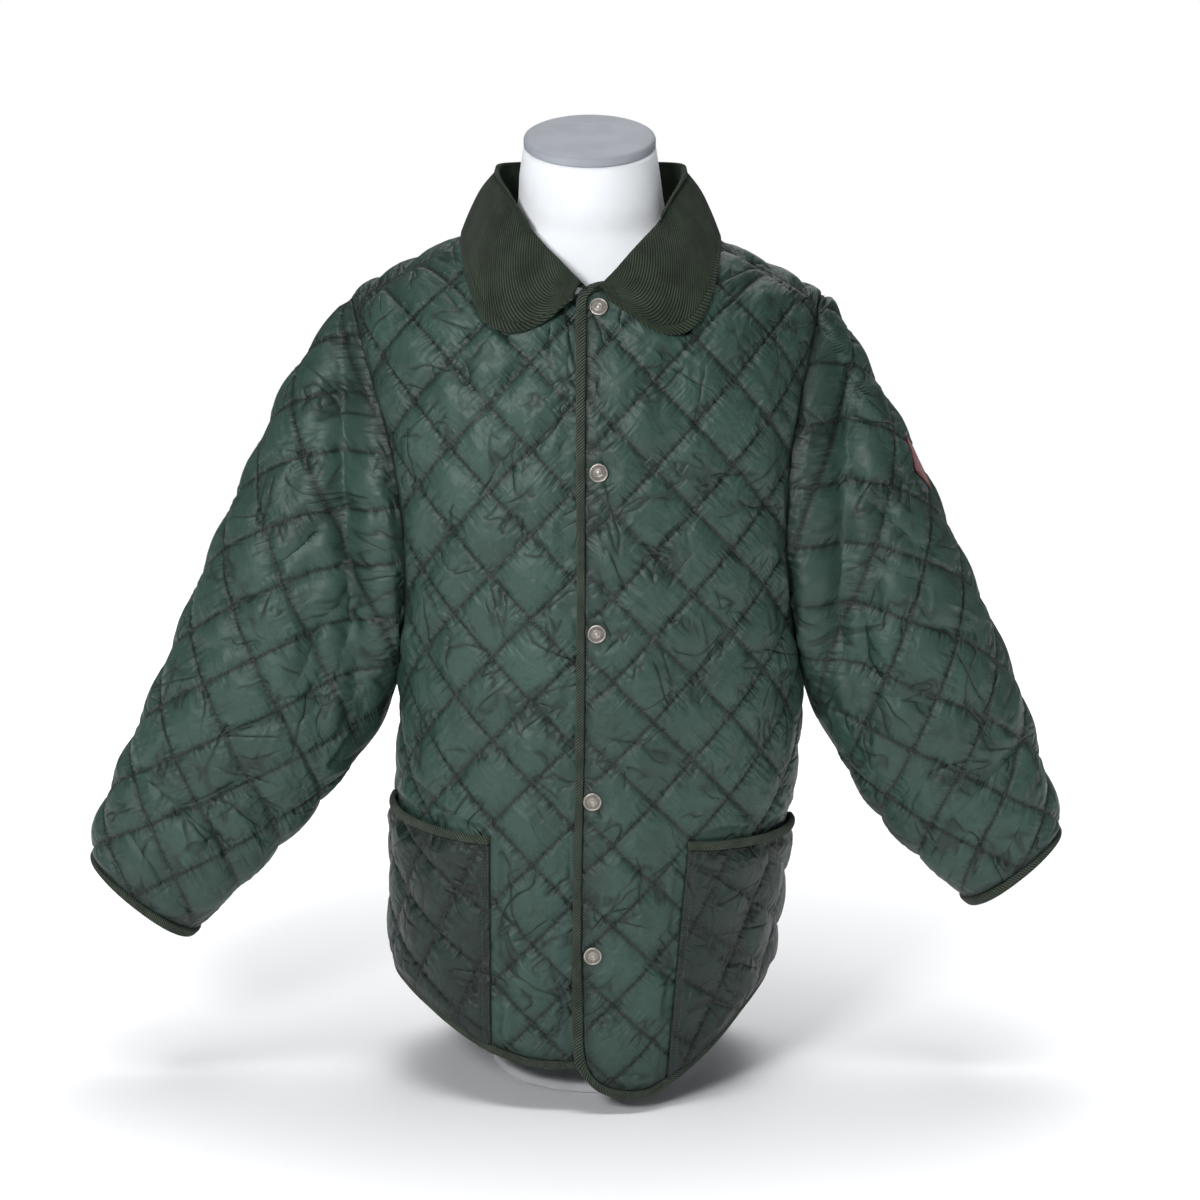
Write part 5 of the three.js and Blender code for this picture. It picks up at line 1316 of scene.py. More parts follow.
class Finish:
    """A material on a Principled shader, whose constants are set on the shader's own sockets."""

    def __init__(self, name, **constants):
        self.material = bpy.data.materials.new(name)
        self.material.use_nodes = True
        self.tree = self.material.node_tree
        self.shader = self.tree.nodes["Principled BSDF"]
        for socket, value in constants.items():
            self.shader.inputs[socket.replace("_", " ")].default_value = value

    def node(self, kind, settings, inputs, output=0):
        made = self.tree.nodes.new(kind)
        for key, value in settings.items():
            setattr(made, key, value)
        for key, value in inputs.items():
            if isinstance(value, Value):
                self.tree.links.new(value.socket, made.inputs[key])
            else:
                made.inputs[key].default_value = value
        return Value(self, made.outputs[output])

    def feed(self, socket, value):
        self.tree.links.new(value.socket, self.shader.inputs[socket])

    def uv(self, name):
        return self.node("ShaderNodeUVMap", {"uv_map": name}, {})

    def place(self):
        return self.node("ShaderNodeTexCoord", {}, {}, "Object")

    def attribute(self, name):
        return self.node("ShaderNodeAttribute", {"attribute_name": name}, {}, "Fac")

    def parts(self, vector):
        return [self.node("ShaderNodeSeparateXYZ", {}, {0: vector}, k) for k in range(3)]

    def vector(self, x=0.0, y=0.0, z=0.0):
        return self.node("ShaderNodeCombineXYZ", {}, {0: x, 1: y, 2: z})

    def noise(self, vector, scale, detail=2.0, roughness=0.5, distortion=0.0):
        inputs = {"Vector": vector, "Scale": scale, "Detail": detail, "Roughness": roughness}
        inputs["Distortion"] = distortion
        return self.node("ShaderNodeTexNoise", {}, inputs)

    def mix(self, factor, first, second):
        return self.node("ShaderNodeMix", {"data_type": "RGBA"}, {0: factor, 6: first, 7: second}, 2)

    def bump(self, height, distance, strength=1.0, under=None):
        inputs = {"Height": height, "Distance": distance, "Strength": strength}
        if under is not None:
            inputs["Normal"] = under
        return self.node("ShaderNodeBump", {}, inputs)


def colour(red, green, blue):
    return (red, green, blue, 1.0)


def shaded(base, amount):
    return tuple(channel * amount for channel in base[:3]) + (1.0,)


# Creases in the nylon: the turn of each set in radians, and how many to a metre
CREASE_DIRECTIONS = ((0.15, 27.0), (1.35, 23.0), (2.25, 31.0))
WEAVE_TURNS = 2 * math.pi / 0.00055

# How deep each part of the nylon's relief is, in metres
WEAVE_DEPTH = 0.00003
SMALL_DEPTH = 0.0011
CREASE_DEPTH = 0.0016
SWELL_DEPTH = 0.0085
GATHER_DEPTH = 0.0075


def nylon_finish(name, base):
    """Thin satin nylon over wadding, gathered at its stitched lines and creased here and there, with
    painted shade in its colour.
    """
    finish = Finish(name, Specular_IOR_Level=0.46)
    pattern = finish.uv("pattern")
    cell_a, cell_b, _ = finish.parts(finish.uv("quilt"))
    across, along, _ = finish.parts(pattern)
    gathers = None
    stitched = None
    shade = None
    for over, beside in ((cell_a, cell_b), (cell_b, cell_a)):
        line = beside.rounded()
        away = abs(beside - line)
        wave = finish.noise(finish.vector(over * 7.0, line * 5.7 + away * 1.6, 0.0), 1.0, 2.0, 0.5)
        part = (wave - 0.5) * (away * -5.0).exp()
        gathers = part if gathers is None else gathers + part
        # Narrow painted shade in each stitched valley
        mask = (away * -30.0).exp()
        stitched = mask if stitched is None else stitched + mask
        # Soft painted shade beside each stitched line
        soft = (away * -10.0).exp()
        shade = soft if shade is None else shade + soft
    creases = None
    for turn, scale in CREASE_DIRECTIONS:
        one = across * math.cos(turn) + along * math.sin(turn)
        other = along * math.cos(turn) - across * math.sin(turn)
        stretched = finish.vector(one * scale, other * (scale * 0.36), turn * 7)
        wave = finish.noise(stretched, 1.0, 2.0, 0.5, 0.35)
        stretched = finish.vector(one * scale, other * (scale * 0.6), turn * 7 + 40)
        kept = finish.noise(stretched, 1.0, 1.0)
        crease = (abs(wave - 0.5) * -42.0).exp() * kept.within(0.5, 0.62)
        creases = crease if creases is None else creases + crease
    swell = finish.noise(finish.vector(across * 30.0, along * 24.0, 0.0), 1.0, 2.0, 0.45, 0.7)
    small = finish.noise(pattern, 150.0, 3.0, 0.55, 0.5)
    weave = (across * WEAVE_TURNS).sin() * (along * WEAVE_TURNS).sin()
    broad = finish.noise(pattern, 9.0, 3.0, 0.5)
    diamond = finish.vector(cell_a.floor() * 3.71, cell_b.floor() * 5.37, 0.0)
    tone = finish.mix(broad.within(0.3, 0.7), shaded(base, 0.9), shaded(base, 1.1))
    # Painted shade: some whole diamonds darkened, as if their puffs tilted away from the light
    tone = finish.mix(finish.noise(diamond, 1.0, 0.0).within(0.3, 0.7) * 0.22, tone, shaded(base, 0.45))
    # Painted shade where the broad swell dips, as on facets turned away from the light
    tone = finish.mix(1 - swell.within(0.3, 0.5), tone, finish.mix(0.32, tone, shaded(base, 0.3)))
    tone = finish.mix(small.within(0.35, 0.7) * 0.25, tone, shaded(base, 0.8))
    # Painted shade in the creases
    tone = finish.mix(creases.within(0.1, 0.8) * 0.7, tone, shaded(base, 0.25))
    # Painted shade, soft and wide, beside the stitched lines
    tone = finish.mix(shade.within(0.05, 1.0) * 0.42, tone, shaded(base, 0.4))
    # Painted shade in the stitched valleys
    tone = finish.mix(stitched.within(0.12, 0.85) * 0.9, tone, shaded(base, 0.12))
    edge = finish.attribute("edge")
    # Painted shade beside seams, hems and bound edges, deepest in the fold where each sleeve meets the
    # body
    tone = finish.mix((edge * -0.1).exp() * 0.8, tone, shaded(base, 0.18))
    tone = finish.mix(finish.attribute("lining").within(0.4, 0.6) * 0.35, tone, shaded(base, 0.5))
    finish.feed("Base Color", tone)
    finish.feed("Roughness", 0.42 + 0.1 * small + 0.08 * broad)
    normal = finish.bump(weave, WEAVE_DEPTH, 0.5)
    normal = finish.bump(small, SMALL_DEPTH, 0.6, normal)
    normal = finish.bump(-creases, CREASE_DEPTH, 0.9, normal)
    normal = finish.bump(swell, SWELL_DEPTH, 0.9, normal)
    normal = finish.bump(gathers, GATHER_DEPTH, 0.9, normal)
    finish.feed("Normal", normal)
    return finish.material


def corduroy_finish(name, base, wale, slant, banded=False):
    """Corduroy: rounded wales of cut pile, with the channels between them darkened as painted shade."""
    gloss = {"Sheen_Weight": 0.06, "Sheen_Roughness": 0.6, "Specular_IOR_Level": 0.12}
    finish = Finish(name, Roughness=0.95, **gloss)
    pattern = finish.uv("pattern")
    run, round_it, _ = finish.parts(pattern)
    phase = run + round_it * slant
    if banded:
        band = finish.attribute("edge").within(9.6, 10.2)
        phase = finish.attribute("wale") * band + (run * 0.75 + round_it * 0.66) * (1 - band)
    drift = finish.noise(pattern, 30.0, 2.0)
    ridge = abs(((phase + drift * 0.0004) * (math.pi / wale)).sin())
    pile = finish.noise(pattern, 2600.0, 2.0, 0.7)
    patch = finish.noise(pattern, 45.0, 3.0, 0.6)
    worn = finish.mix(patch.within(0.3, 0.7), shaded(base, 0.7), shaded(base, 1.35))
    # Painted shade in the channels between the wales
    tone = finish.mix(ridge.within(0.35, 1.0), shaded(base, 0.1), worn)
    tone = finish.mix(pile.within(0.45, 0.8) * 0.4, tone, shaded(base, 1.5))
    if banded:
        # Painted shade in a groove 10 mm in from the edge, where the band meets the leaf
        groove = abs(finish.attribute("edge") - 10)
        tone = finish.mix((1 - groove.within(0.1, 0.9)) * 0.7, tone, shaded(base, 0.3))
    finish.feed("Base Color", tone)
    normal = finish.bump(pile, 0.00022, 0.6)
    normal = finish.bump(ridge**0.6, 0.0009, 1.0, normal)
    finish.feed("Normal", normal)
    return finish.material


def pewter_finish(name, base):
    """Antique pewter: darker in its hollows, rubbed bright on the rims."""
    finish = Finish(name, Metallic=1.0, Specular_IOR_Level=0.5)
    place = finish.place()
    height = finish.attribute("height")
    cloudy = finish.noise(place, 420.0, 4.0, 0.6)
    pits = finish.noise(place, 2600.0, 3.0, 0.6)
    rubbed = height.within(1.4, 2.5) * 0.7 + cloudy.within(0.35, 0.75) * 0.3
    finish.feed("Base Color", finish.mix(rubbed, shaded(base, 0.3), shaded(base, 1.25)))
    finish.feed("Roughness", 0.5 - 0.16 * rubbed + 0.1 * pits)
    finish.feed("Normal", finish.bump(pits, 0.00008, 0.5))
    return finish.material


TWILL_RIB = 0.0009
TWILL_THREAD = 0.00045


def twill_finish(name, base):
    finish = Finish(name, Sheen_Weight=0.3, Sheen_Roughness=0.5, Specular_IOR_Level=0.25)
    pattern = finish.uv("pattern")
    across, along, _ = finish.parts(pattern)
    rib = abs(((across + along) * (math.pi / TWILL_RIB)).sin())
    thread = abs(((across - along) * (math.pi / TWILL_THREAD)).sin())
    cloudy = finish.noise(pattern, 120.0, 3.0)
    tone = finish.mix(rib.within(0.1, 0.7), shaded(base, 0.55), base)
    finish.feed("Base Color", finish.mix(cloudy.within(0.35, 0.7) * 0.4, tone, shaded(base, 1.3)))
    finish.feed("Roughness", 0.72 + 0.2 * cloudy)
    finish.feed("Normal", finish.bump(rib * 0.7 + thread * 0.3, 0.0003, 0.8))
    return finish.material


def thread_finish(name, base):
    finish = Finish(name, Sheen_Weight=0.2, Specular_IOR_Level=0.4)
    cloudy = finish.noise(finish.place(), 900.0, 2.0)
    tone = finish.mix(cloudy.within(0.3, 0.7), shaded(base, 0.75), shaded(base, 1.25))
    finish.feed("Base Color", tone)
    finish.feed("Roughness", 0.45 + 0.25 * cloudy)
    return finish.material


def jersey_finish(name, base):
    """Stretched knit cover of the dress form."""
    finish = Finish(name, Sheen_Weight=0.2, Sheen_Roughness=0.5, Specular_IOR_Level=0.25)
    place = finish.place()
    x, _, z = finish.parts(place)
    stitch = (x * 2600.0).sin() * (z * 1900.0).sin()
    cloudy = finish.noise(place, 22.0, 3.0)
    fuzz = finish.noise(place, 1800.0, 2.0)
    tone = finish.mix(cloudy.within(0.3, 0.7), shaded(base, 0.95), base)
    finish.feed("Base Color", finish.mix(fuzz.within(0.5, 0.8) * 0.12, tone, shaded(base, 0.8)))
    finish.feed("Roughness", 0.78 + 0.12 * fuzz)
    finish.feed("Normal", finish.bump(stitch * 0.4 + fuzz, 0.00018, 0.5))
    return finish.material


def plastic_finish(name, base, roughness):
    finish = Finish(name, Specular_IOR_Level=0.4)
    place = finish.place()
    grain = finish.noise(place, 900.0, 3.0, 0.6)
    cloudy = finish.noise(place, 30.0, 3.0)
    tone = finish.mix(cloudy.within(0.3, 0.7), shaded(base, 0.93), shaded(base, 1.05))
    finish.feed("Base Color", tone)
    finish.feed("Roughness", roughness + 0.12 * grain)
    finish.feed("Normal", finish.bump(grain, 0.00012, 0.5))
    return finish.material


def floor_finish(name, base):
    finish = Finish(name, Specular_IOR_Level=0.2)
    cloudy = finish.noise(finish.place(), 1.5, 2.0)
    finish.feed("Base Color", finish.mix(cloudy, shaded(base, 0.985), base))
    finish.feed("Roughness", 0.85 + 0.05 * cloudy)
    return finish.material


nylon = nylon_finish("satin_nylon", colour(0.03, 0.069, 0.054))
# The pockets' nylon is the same cloth as the rest, coloured darker as painted shade
pocket_nylon = nylon_finish("pocket_nylon", colour(0.009, 0.027, 0.02))
corduroy = corduroy_finish("collar_corduroy", colour(0.034, 0.051, 0.031), 0.0026, 0.0, True)
corduroy_binding = corduroy_finish("binding_corduroy", colour(0.055, 0.073, 0.052), 0.0028, 0.9)
pewter = pewter_finish("antique_pewter", colour(0.42, 0.39, 0.35))
twill = twill_finish("red_twill", colour(0.24, 0.045, 0.05))
thread = thread_finish("green_thread", colour(0.045, 0.068, 0.06))
jersey = jersey_finish("white_jersey", colour(0.9, 0.92, 0.95))
cap_grey = plastic_finish("grey_cap", colour(0.36, 0.38, 0.42), 0.5)
painted_steel = plastic_finish("painted_steel", colour(0.84, 0.85, 0.87), 0.32)
pale_floor = floor_finish("pale_floor", colour(0.9, 0.9, 0.91))


# Stitches and dots


def set_input(modifier, name, value):
    for item in modifier.node_group.interface.items_tree:
        if item.item_type == "SOCKET" and item.in_out == "INPUT" and item.name == name:
            modifier[item.identifier] = value


def new_tree(name, inputs):
    tree = bpy.data.node_groups.new(name, "GeometryNodeTree")
    tree.interface.new_socket("Geometry", in_out="INPUT", socket_type="NodeSocketGeometry")
    for label, kind in inputs:
        tree.interface.new_socket(label, in_out="INPUT", socket_type=kind)
    tree.interface.new_socket("Geometry", in_out="OUTPUT", socket_type="NodeSocketGeometry")
    return tree, tree.nodes.new("NodeGroupInput"), tree.nodes.new("NodeGroupOutput")


def stitch_tree():
    """Small spindles of thread, one at each pitch along the given lines."""
    sizes = [("Pitch", "NodeSocketFloat"), ("Length", "NodeSocketFloat"), ("Width", "NodeSocketFloat")]
    tree, given, result = new_tree("stitches", sizes + [("Thread", "NodeSocketMaterial")])
    nodes = tree.nodes
    link = tree.links.new
    lines = nodes.new("GeometryNodeMeshToCurve")
    even = nodes.new("GeometryNodeResampleCurve")
    even.mode = "LENGTH"
    spindle = nodes.new("GeometryNodeMeshUVSphere")
    spindle.inputs["Segments"].default_value = 4
    spindle.inputs["Rings"].default_value = 2
    spindle.inputs["Radius"].default_value = 0.5
    turned = nodes.new("GeometryNodeTransform")
    turned.inputs["Rotation"].default_value = (0, math.pi / 2, 0)
    shape = nodes.new("ShaderNodeCombineXYZ")
    tangent = nodes.new("GeometryNodeInputTangent")
    aim = nodes.new("FunctionNodeAlignEulerToVector")
    aim.axis = "X"
    spread = nodes.new("GeometryNodeInstanceOnPoints")
    real = nodes.new("GeometryNodeRealizeInstances")
    coated = nodes.new("GeometryNodeSetMaterial")
    link(given.outputs["Geometry"], lines.inputs[0])
    link(lines.outputs[0], even.inputs["Curve"])
    link(given.outputs["Pitch"], even.inputs["Length"])
    link(spindle.outputs["Mesh"], turned.inputs["Geometry"])
    link(given.outputs["Length"], shape.inputs[0])
    link(given.outputs["Width"], shape.inputs[1])
    link(given.outputs["Width"], shape.inputs[2])
    link(tangent.outputs[0], aim.inputs["Vector"])
    link(even.outputs[0], spread.inputs["Points"])
    link(turned.outputs[0], spread.inputs["Instance"])
    link(aim.outputs[0], spread.inputs["Rotation"])
    link(shape.outputs[0], spread.inputs["Scale"])
    link(spread.outputs[0], real.inputs[0])
    link(real.outputs[0], coated.inputs["Geometry"])
    link(given.outputs["Thread"], coated.inputs["Material"])
    link(coated.outputs[0], result.inputs[0])
    return tree


def dot_tree():
    """Small raised dots, one on each given point."""
    sizes = [("Radius", "NodeSocketFloat"), ("Metal", "NodeSocketMaterial")]
    tree, given, result = new_tree("raised_dots", sizes)
    nodes = tree.nodes
    link = tree.links.new
    points = nodes.new("GeometryNodeMeshToPoints")
    dot = nodes.new("GeometryNodeMeshIcoSphere")
    dot.inputs["Subdivisions"].default_value = 2
    spread = nodes.new("GeometryNodeInstanceOnPoints")
    real = nodes.new("GeometryNodeRealizeInstances")
    coated = nodes.new("GeometryNodeSetMaterial")
    link(given.outputs["Geometry"], points.inputs[0])
    link(given.outputs["Radius"], dot.inputs["Radius"])
    link(points.outputs[0], spread.inputs["Points"])
    link(dot.outputs["Mesh"], spread.inputs["Instance"])
    link(spread.outputs[0], real.inputs[0])
    link(real.outputs[0], coated.inputs["Geometry"])
    link(given.outputs["Metal"], coated.inputs["Material"])
    link(coated.outputs[0], result.inputs[0])
    return tree


def grown(name, points, edges, tree, sizes):
    """The plain mesh that a tree of nodes makes from points and the edges between them."""
    seed = bpy.data.meshes.new(name + "_lines")
    seed.from_pydata((points * MM).tolist(), edges, [])
    source = placed(name + "_lines", seed)
    modifier = source.modifiers.new("grown", "NODES")
    modifier.node_group = tree
    for label, value in sizes.items():
        set_input(modifier, label, value)
    bpy.context.view_layer.update()
    shown = source.evaluated_get(bpy.context.evaluated_depsgraph_get())
    mesh = bpy.data.meshes.new_from_object(shown)
    mesh.name = name
    mesh.polygons.foreach_set("use_smooth", [True] * len(mesh.polygons))
    source.modifiers.clear()
    bpy.data.objects.remove(source)
    return placed(name, mesh)


stitches = stitch_tree()
raised_dots = dot_tree()


# Stitches, as pitch, length and width
QUILTING_STITCH = (3.6, 2.5, 0.42)
EDGE_STITCH = (3.1, 2.4, 0.55)


def sewn(name, runs, stitch):
    points, edges = joined_runs(*runs)
    pitch, length, width = stitch
    sizes = {"Pitch": pitch * MM, "Length": length * MM, "Width": width * MM, "Thread": thread}
    return grown(name, points, edges, stitches, sizes)


# The jacket's pieces


def finished(piece, slot, *nodes):
    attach(piece, "root")
    if nodes:
        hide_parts(*nodes)
    return piece


snap_places = {name: (x, height_to_along(x, z)) for name, (x, z) in SNAPS.items()}
FULL_THICKNESS = STITCHED_THICKNESS + PUFF + 1.5

# Where the quilting is held flat: under a pocket, under the arm and under the patch
POCKET_BED_INNER = -6
POCKET_BED_OVER = 4
UNDERARM_ACROSS = (62, 50)
UNDERARM_ALONG = (124, 106)
UNDERARM_THICKNESS = STITCHED_THICKNESS + 0.6
PATCH_BED = STITCHED_THICKNESS + 0.5
PATCH_BED_REACH = (1.05, 1.7)


def blended_limit(share, low):
    """A ceiling that comes down from the full thickness to low where share is 1."""
    return np.where(share > 0.001, FULL_THICKNESS + (low - FULL_THICKNESS) * share, np.inf)


def pocket_share(pocket, x, y):
    inwards = pocket["x"] * (x - pocket_inner(pocket, y))
    over = y - pocket_top(pocket, x) - BINDING_WIDTH
    below = 1 - smooth_step(POCKET_BED_OVER, POCKET_BED_MARGIN, over)
    return smooth_step(-POCKET_BED_MARGIN, POCKET_BED_INNER, inwards) * below


def under_limit(x, y):
    limit = blended_limit(pocket_share(POCKETS["right_hand"], x, y), POCKET_BED)
    lapped = smooth_step(LAP_UNDER_FROM, LAP_UNDER_FULL, x)
    return np.minimum(limit, blended_limit(lapped, LAP_UNDER_LIMIT))


def over_limit(x, y):
    limit = blended_limit(pocket_share(POCKETS["left_hand"], x, y), POCKET_BED)
    for across, along in snap_places.values():
        away = smooth_step(SNAP_DIMPLE["inner"], SNAP_DIMPLE["outer"], np.hypot(x - across, y - along))
        limit = np.minimum(limit, blended_limit(1 - away, SNAP_DIMPLE["thickness"]))
    return limit


def sleeve_limit(hand):
    sleeve = SLEEVES[hand]
    top = read(sleeve["armhole"], "angle", math.pi)["along"][0]

    def limit(x, y):
        half = sleeve_across(sleeve, math.pi, y)
        under = smooth_step(half - UNDERARM_ACROSS[0], half - UNDERARM_ACROSS[1], np.abs(x))
        under = under * smooth_step(top - UNDERARM_ALONG[0], top - UNDERARM_ALONG[1], y)
        held = blended_limit(under, UNDERARM_THICKNESS)
        if hand == "left_hand":
            reach = np.abs(x - PATCH["across"]) / PATCH["half_width"]
            reach += np.abs(y - PATCH["along"]) / PATCH["half_height"]
            held = np.minimum(held, blended_limit(1 - smooth_step(*PATCH_BED_REACH, reach), PATCH_BED))
        return held

    return limit


def on_sleeve(hand):
    def wrap(across, along, lift):
        return sleeve_lifted(hand, across, along, lift)

    return wrap


panels = {
    "front_right_hand": Panel(under_outline(), FRONT_LATTICE, wrap_under, under_limit),
    "front_left_hand": Panel(over_outline(), OVER_LATTICE, wrap_over, over_limit),
    "back": Panel(back_outline(), BACK_LATTICE, wrap_back),
}
for hand in SLEEVES:
    outline = sleeve_outline(hand)
    panels["sleeve_" + hand] = Panel(outline, SLEEVE_LATTICE, on_sleeve(hand), sleeve_limit(hand))

# How far in from its sewn edges and its mouth a pocket starts to stand off the front
POCKET_INNER_EASE = 22
POCKET_SIDE_EASE = 30
POCKET_MOUTH_EASE = (-70, -8)
POCKET_GAP = 0.4


def pocket_wrap(hand, base):
    """A pocket lies close to the front along its sewn edges and stands off it at its mouth."""
    pocket = POCKETS[hand]

    def wrap(across, along, lift):
        inwards = pocket["x"] * (across - pocket_inner(pocket, along))
        outwards = pocket["x"] * (side_across("front", pocket["x"], along) - across)
        free = smooth_step(0, POCKET_INNER_EASE, inwards) * smooth_step(0, POCKET_SIDE_EASE, outwards)
        mouth = smooth_step(*POCKET_MOUTH_EASE, along - pocket_top(pocket, across))
        stand = POCKET_BED + POCKET_GAP + (POCKET_LIFT - POCKET_BED) * free * (0.35 + 0.65 * mouth)
        return base(across, along, lift + stand)

    return wrap


for hand, base, hem, cut in (
    ("right_hand", wrap_under, HEM_UNDER, hem_under),
    ("left_hand", wrap_over, HEM_OVER, hem_over),
):
    outline = pocket_outline(POCKETS[hand], hem, cut)
    panels["pocket_" + hand] = Panel(outline, POCKET_LATTICE, pocket_wrap(hand, base))

for name, panel in panels.items():
    finish = pocket_nylon if name.startswith("pocket") else nylon
    finished(panel.mesh(name + "_cloth", finish), "nylon", name)


# Bindings on their cut edges


ANYWHERE = 1000
BOUND_SIDE_ALONG = 108
BOUND_SIDE_GAP = 1.2
UNDER_SPLIT = -16
OVER_CORNER_AROUND = (9, 3)
FINE_SPACING = 3
CUFF_OVERLAP = 0.2
POCKET_BINDING_SHORT = 8
POCKET_BINDING_POINTS = 46
POCKET_ROWS = (1.6, 6.4)

# Where the stitches on a binding lie: in from the cut edge, and up from the cloth
BINDING_STITCH = (1.9, 3.1)
CUFF_STITCH = (2.1, 3.2)

sewn_edges = []
bound_lengths = {}


def between(points, low, high):
    return points[(points[:, 0] > low) & (points[:, 0] < high)]


def side_limit(face, x_sign):
    inwards = -x_sign if face == "front" else x_sign
    return side_across(face, x_sign, BOUND_SIDE_ALONG)[0] + inwards * BOUND_SIDE_GAP


def bind(node, path, section, wrap, closed=False):
    """Makes the binding on a cut edge and keeps its length."""
    name = node + "_corduroy"
    finished(binding_object(name, path, section, wrap, closed), "corduroy", node)
    bound_lengths[name] = run_lengths(path)[-1] * MM


split = int(np.argmax(under_path[:, 0] > UNDER_SPLIT))
under_hem = between(under_path[: split + 1], side_limit("front", -1), ANYWHERE)
under_upright = under_path[split:]
over_corner = neck_edge("front", 1, *OVER_CORNER_AROUND, 3)
over_upright = between(over_path, -ANYWHERE, side_limit("front", 1))
over_bound = resampled(np.concatenate([over_corner, over_upright]), FINE_SPACING)
back_bound = between(back_path, side_limit("back", 1), side_limit("back", -1))
for node, path, section, wrap in (
    ("edge_binding_left_hand", over_bound, BINDING_SECTION, wrap_over),
    ("edge_binding_right_hand", under_upright, THIN_BINDING_SECTION, wrap_under),
    ("hem_binding_right_hand", under_hem, BINDING_SECTION, wrap_under),
    ("hem_binding_back", back_bound, BINDING_SECTION, wrap_back),
):
    bind(node, path, section, wrap)
    sewn_edges.append(edge_stitches(path, wrap, BINDING_STITCH))

for hand, sleeve in SLEEVES.items():
    angle = np.linspace(-math.pi, math.pi, 141)[:-1]
    across = sleeve_across(sleeve, angle, BINDING_WIDTH)
    ring = np.stack([across, np.full_like(angle, BINDING_WIDTH - CUFF_OVERLAP)], axis=1)
    bind("cuff_binding_" + hand, ring, BINDING_SECTION, on_sleeve(hand), True)
    sewn_edges.append(edge_stitches(ring[1:-1], on_sleeve(hand), CUFF_STITCH))

for hand, base in (("right_hand", wrap_under), ("left_hand", wrap_over)):
    pocket = POCKETS[hand]
    outer = side_across("front", pocket["x"], pocket["top_side"])[0] - pocket["x"] * POCKET_BINDING_SHORT
    ends = (outer, pocket["inner_top"]) if pocket["x"] > 0 else (pocket["inner_top"], outer)
    across = np.linspace(*ends, POCKET_BINDING_POINTS)
    path = np.stack([across, pocket_top(pocket, across) - 1], axis=1)
    cloth = panels["pocket_" + hand]
    bind("pocket_binding_" + hand, path, BINDING_SECTION, cloth.wrap)
    sewn_edges.append(edge_stitches(path[2:-2], cloth.wrap, BINDING_STITCH))

# Double rows of stitches down each pocket's inner edge
for hand, pocket in POCKETS.items():
    cloth = panels["pocket_" + hand]
    bottom = cloth.outline[:, 1].min() + 12
    rise = np.arange(bottom, pocket_top(pocket, pocket["inner_top"]) - 4, 2)
    inner = pocket_inner(pocket, rise)
    rows = [np.stack([inner + pocket["x"] * inset, rise], axis=1) for inset in POCKET_ROWS]
    sewn_edges.append(cloth.runs_on_face(rows, 1.0))


# Collar

COLLAR_HALF_ROWS = 96
COLLAR_CURVE_STEPS = 6
RIM_STEPS = 5
COLLAR_WALE_TURN = math.radians(52)
COLLAR_STRAIGHT_FROM = 50
COLLAR_STRAIGHT_TO = 150
COLLAR_LAP = (-50, -26)
COLLAR_STITCH_ROWS = (1, 7)
COLLAR_STITCH_LIFT = 0.15
END_STEPS = 4
FAR_FROM_EDGE = 99

# The hidden side rounds over at the roll and bulges on its way down to the edge
ROLL_ROUND = 1.6
ROLL_OVER = 3.2
ROLL_OVER_DROP = 1.8
FALL_BULGE = 5
FALL_BULGE_LENGTH = 40
FALL_BULGE_RISE = 0.3
LEAF_DROP_FADES = (40, 110)


def collar_lap(face, across):
    if face == "back":
        return np.zeros_like(across)
    return lap_lift(across) * smooth_step(*COLLAR_LAP, across)


def pushed_clear(points, face, surface, start, end):
    """Points of the collar's fall, moved out where they would touch the jacket."""
    shares = np.linspace(0, 1.15, 47)
    across = start[0][:, None] + (end[0] - start[0])[:, None] * shares
    along = start[1][:, None] + (end[1] - start[1])[:, None] * shares
    seats = surface(across.ravel(), along.ravel()).reshape(len(points), len(shares), 3)
    best = np.linalg.norm(seats - points[:, None], axis=2).argmin(axis=1)
    row = np.arange(len(points))
    across = across[row, best]
    along = along[row, best]
    normal = normals(surface, across, along)
    height = ((points - seats[row, best]) * normal).sum(axis=1)
    wanted = COLLAR_FALL_LIFT + collar_lap(face, across)
    return points + normal * np.maximum(wanted - height, 0)[:, None]


def collar_hidden_rows(face, around, x_sign):
    """The hidden side's eight places from seam to edge, at each distance round the neck."""
    surface = front_surface if face == "front" else back_surface
    row = read(COLLAR, "around", around)
    neck = read(NECKLINE, "around", around)
    leaf_drop = np.where(x_sign > 0, LEAF_DROP * (1 - smooth_step(*LEAF_DROP_FADES, around)), 0)
    start = plan_to_pattern(face, NECK_CENTRE_X + x_sign * neck["x"], neck["y"])
    end = plan_to_pattern(face, NECK_CENTRE_X + x_sign * row["edge_x"], row["edge_y"])
    base = lifted(surface, *start, COLLAR_BASE_LIFT + collar_lap(face, start[0]))
    edge = lifted(surface, *end, COLLAR_LIFT + collar_lap(face, end[0]))
    roll_x = NECK_CENTRE_X + x_sign * row["roll_x"]
    roll = np.stack([roll_x, row["roll_y"], row["roll_z"] - leaf_drop], axis=1)
    outward = unit((edge - base) * (1, 1, 0))
    fall = edge - roll
    bulge = FALL_BULGE * smooth_step(0, FALL_BULGE_LENGTH, np.linalg.norm(fall, axis=1))[:, None]
    up = np.array([0, 0, 1])
    places = [
        base,
        base + (roll - base) * 0.5,
        roll - up * ROLL_ROUND,
        roll + outward * ROLL_ROUND,
        roll + outward * ROLL_OVER - up * ROLL_OVER_DROP,
        roll + fall * 0.35 + outward * bulge + up * bulge * FALL_BULGE_RISE,
        roll + fall * 0.7 + outward * bulge * 0.6 + up * bulge * FALL_BULGE_RISE,
        edge,
    ]
    for k in (4, 5, 6):
        places[k] = pushed_clear(places[k], face, surface, start, end)
    return np.array(places), outward


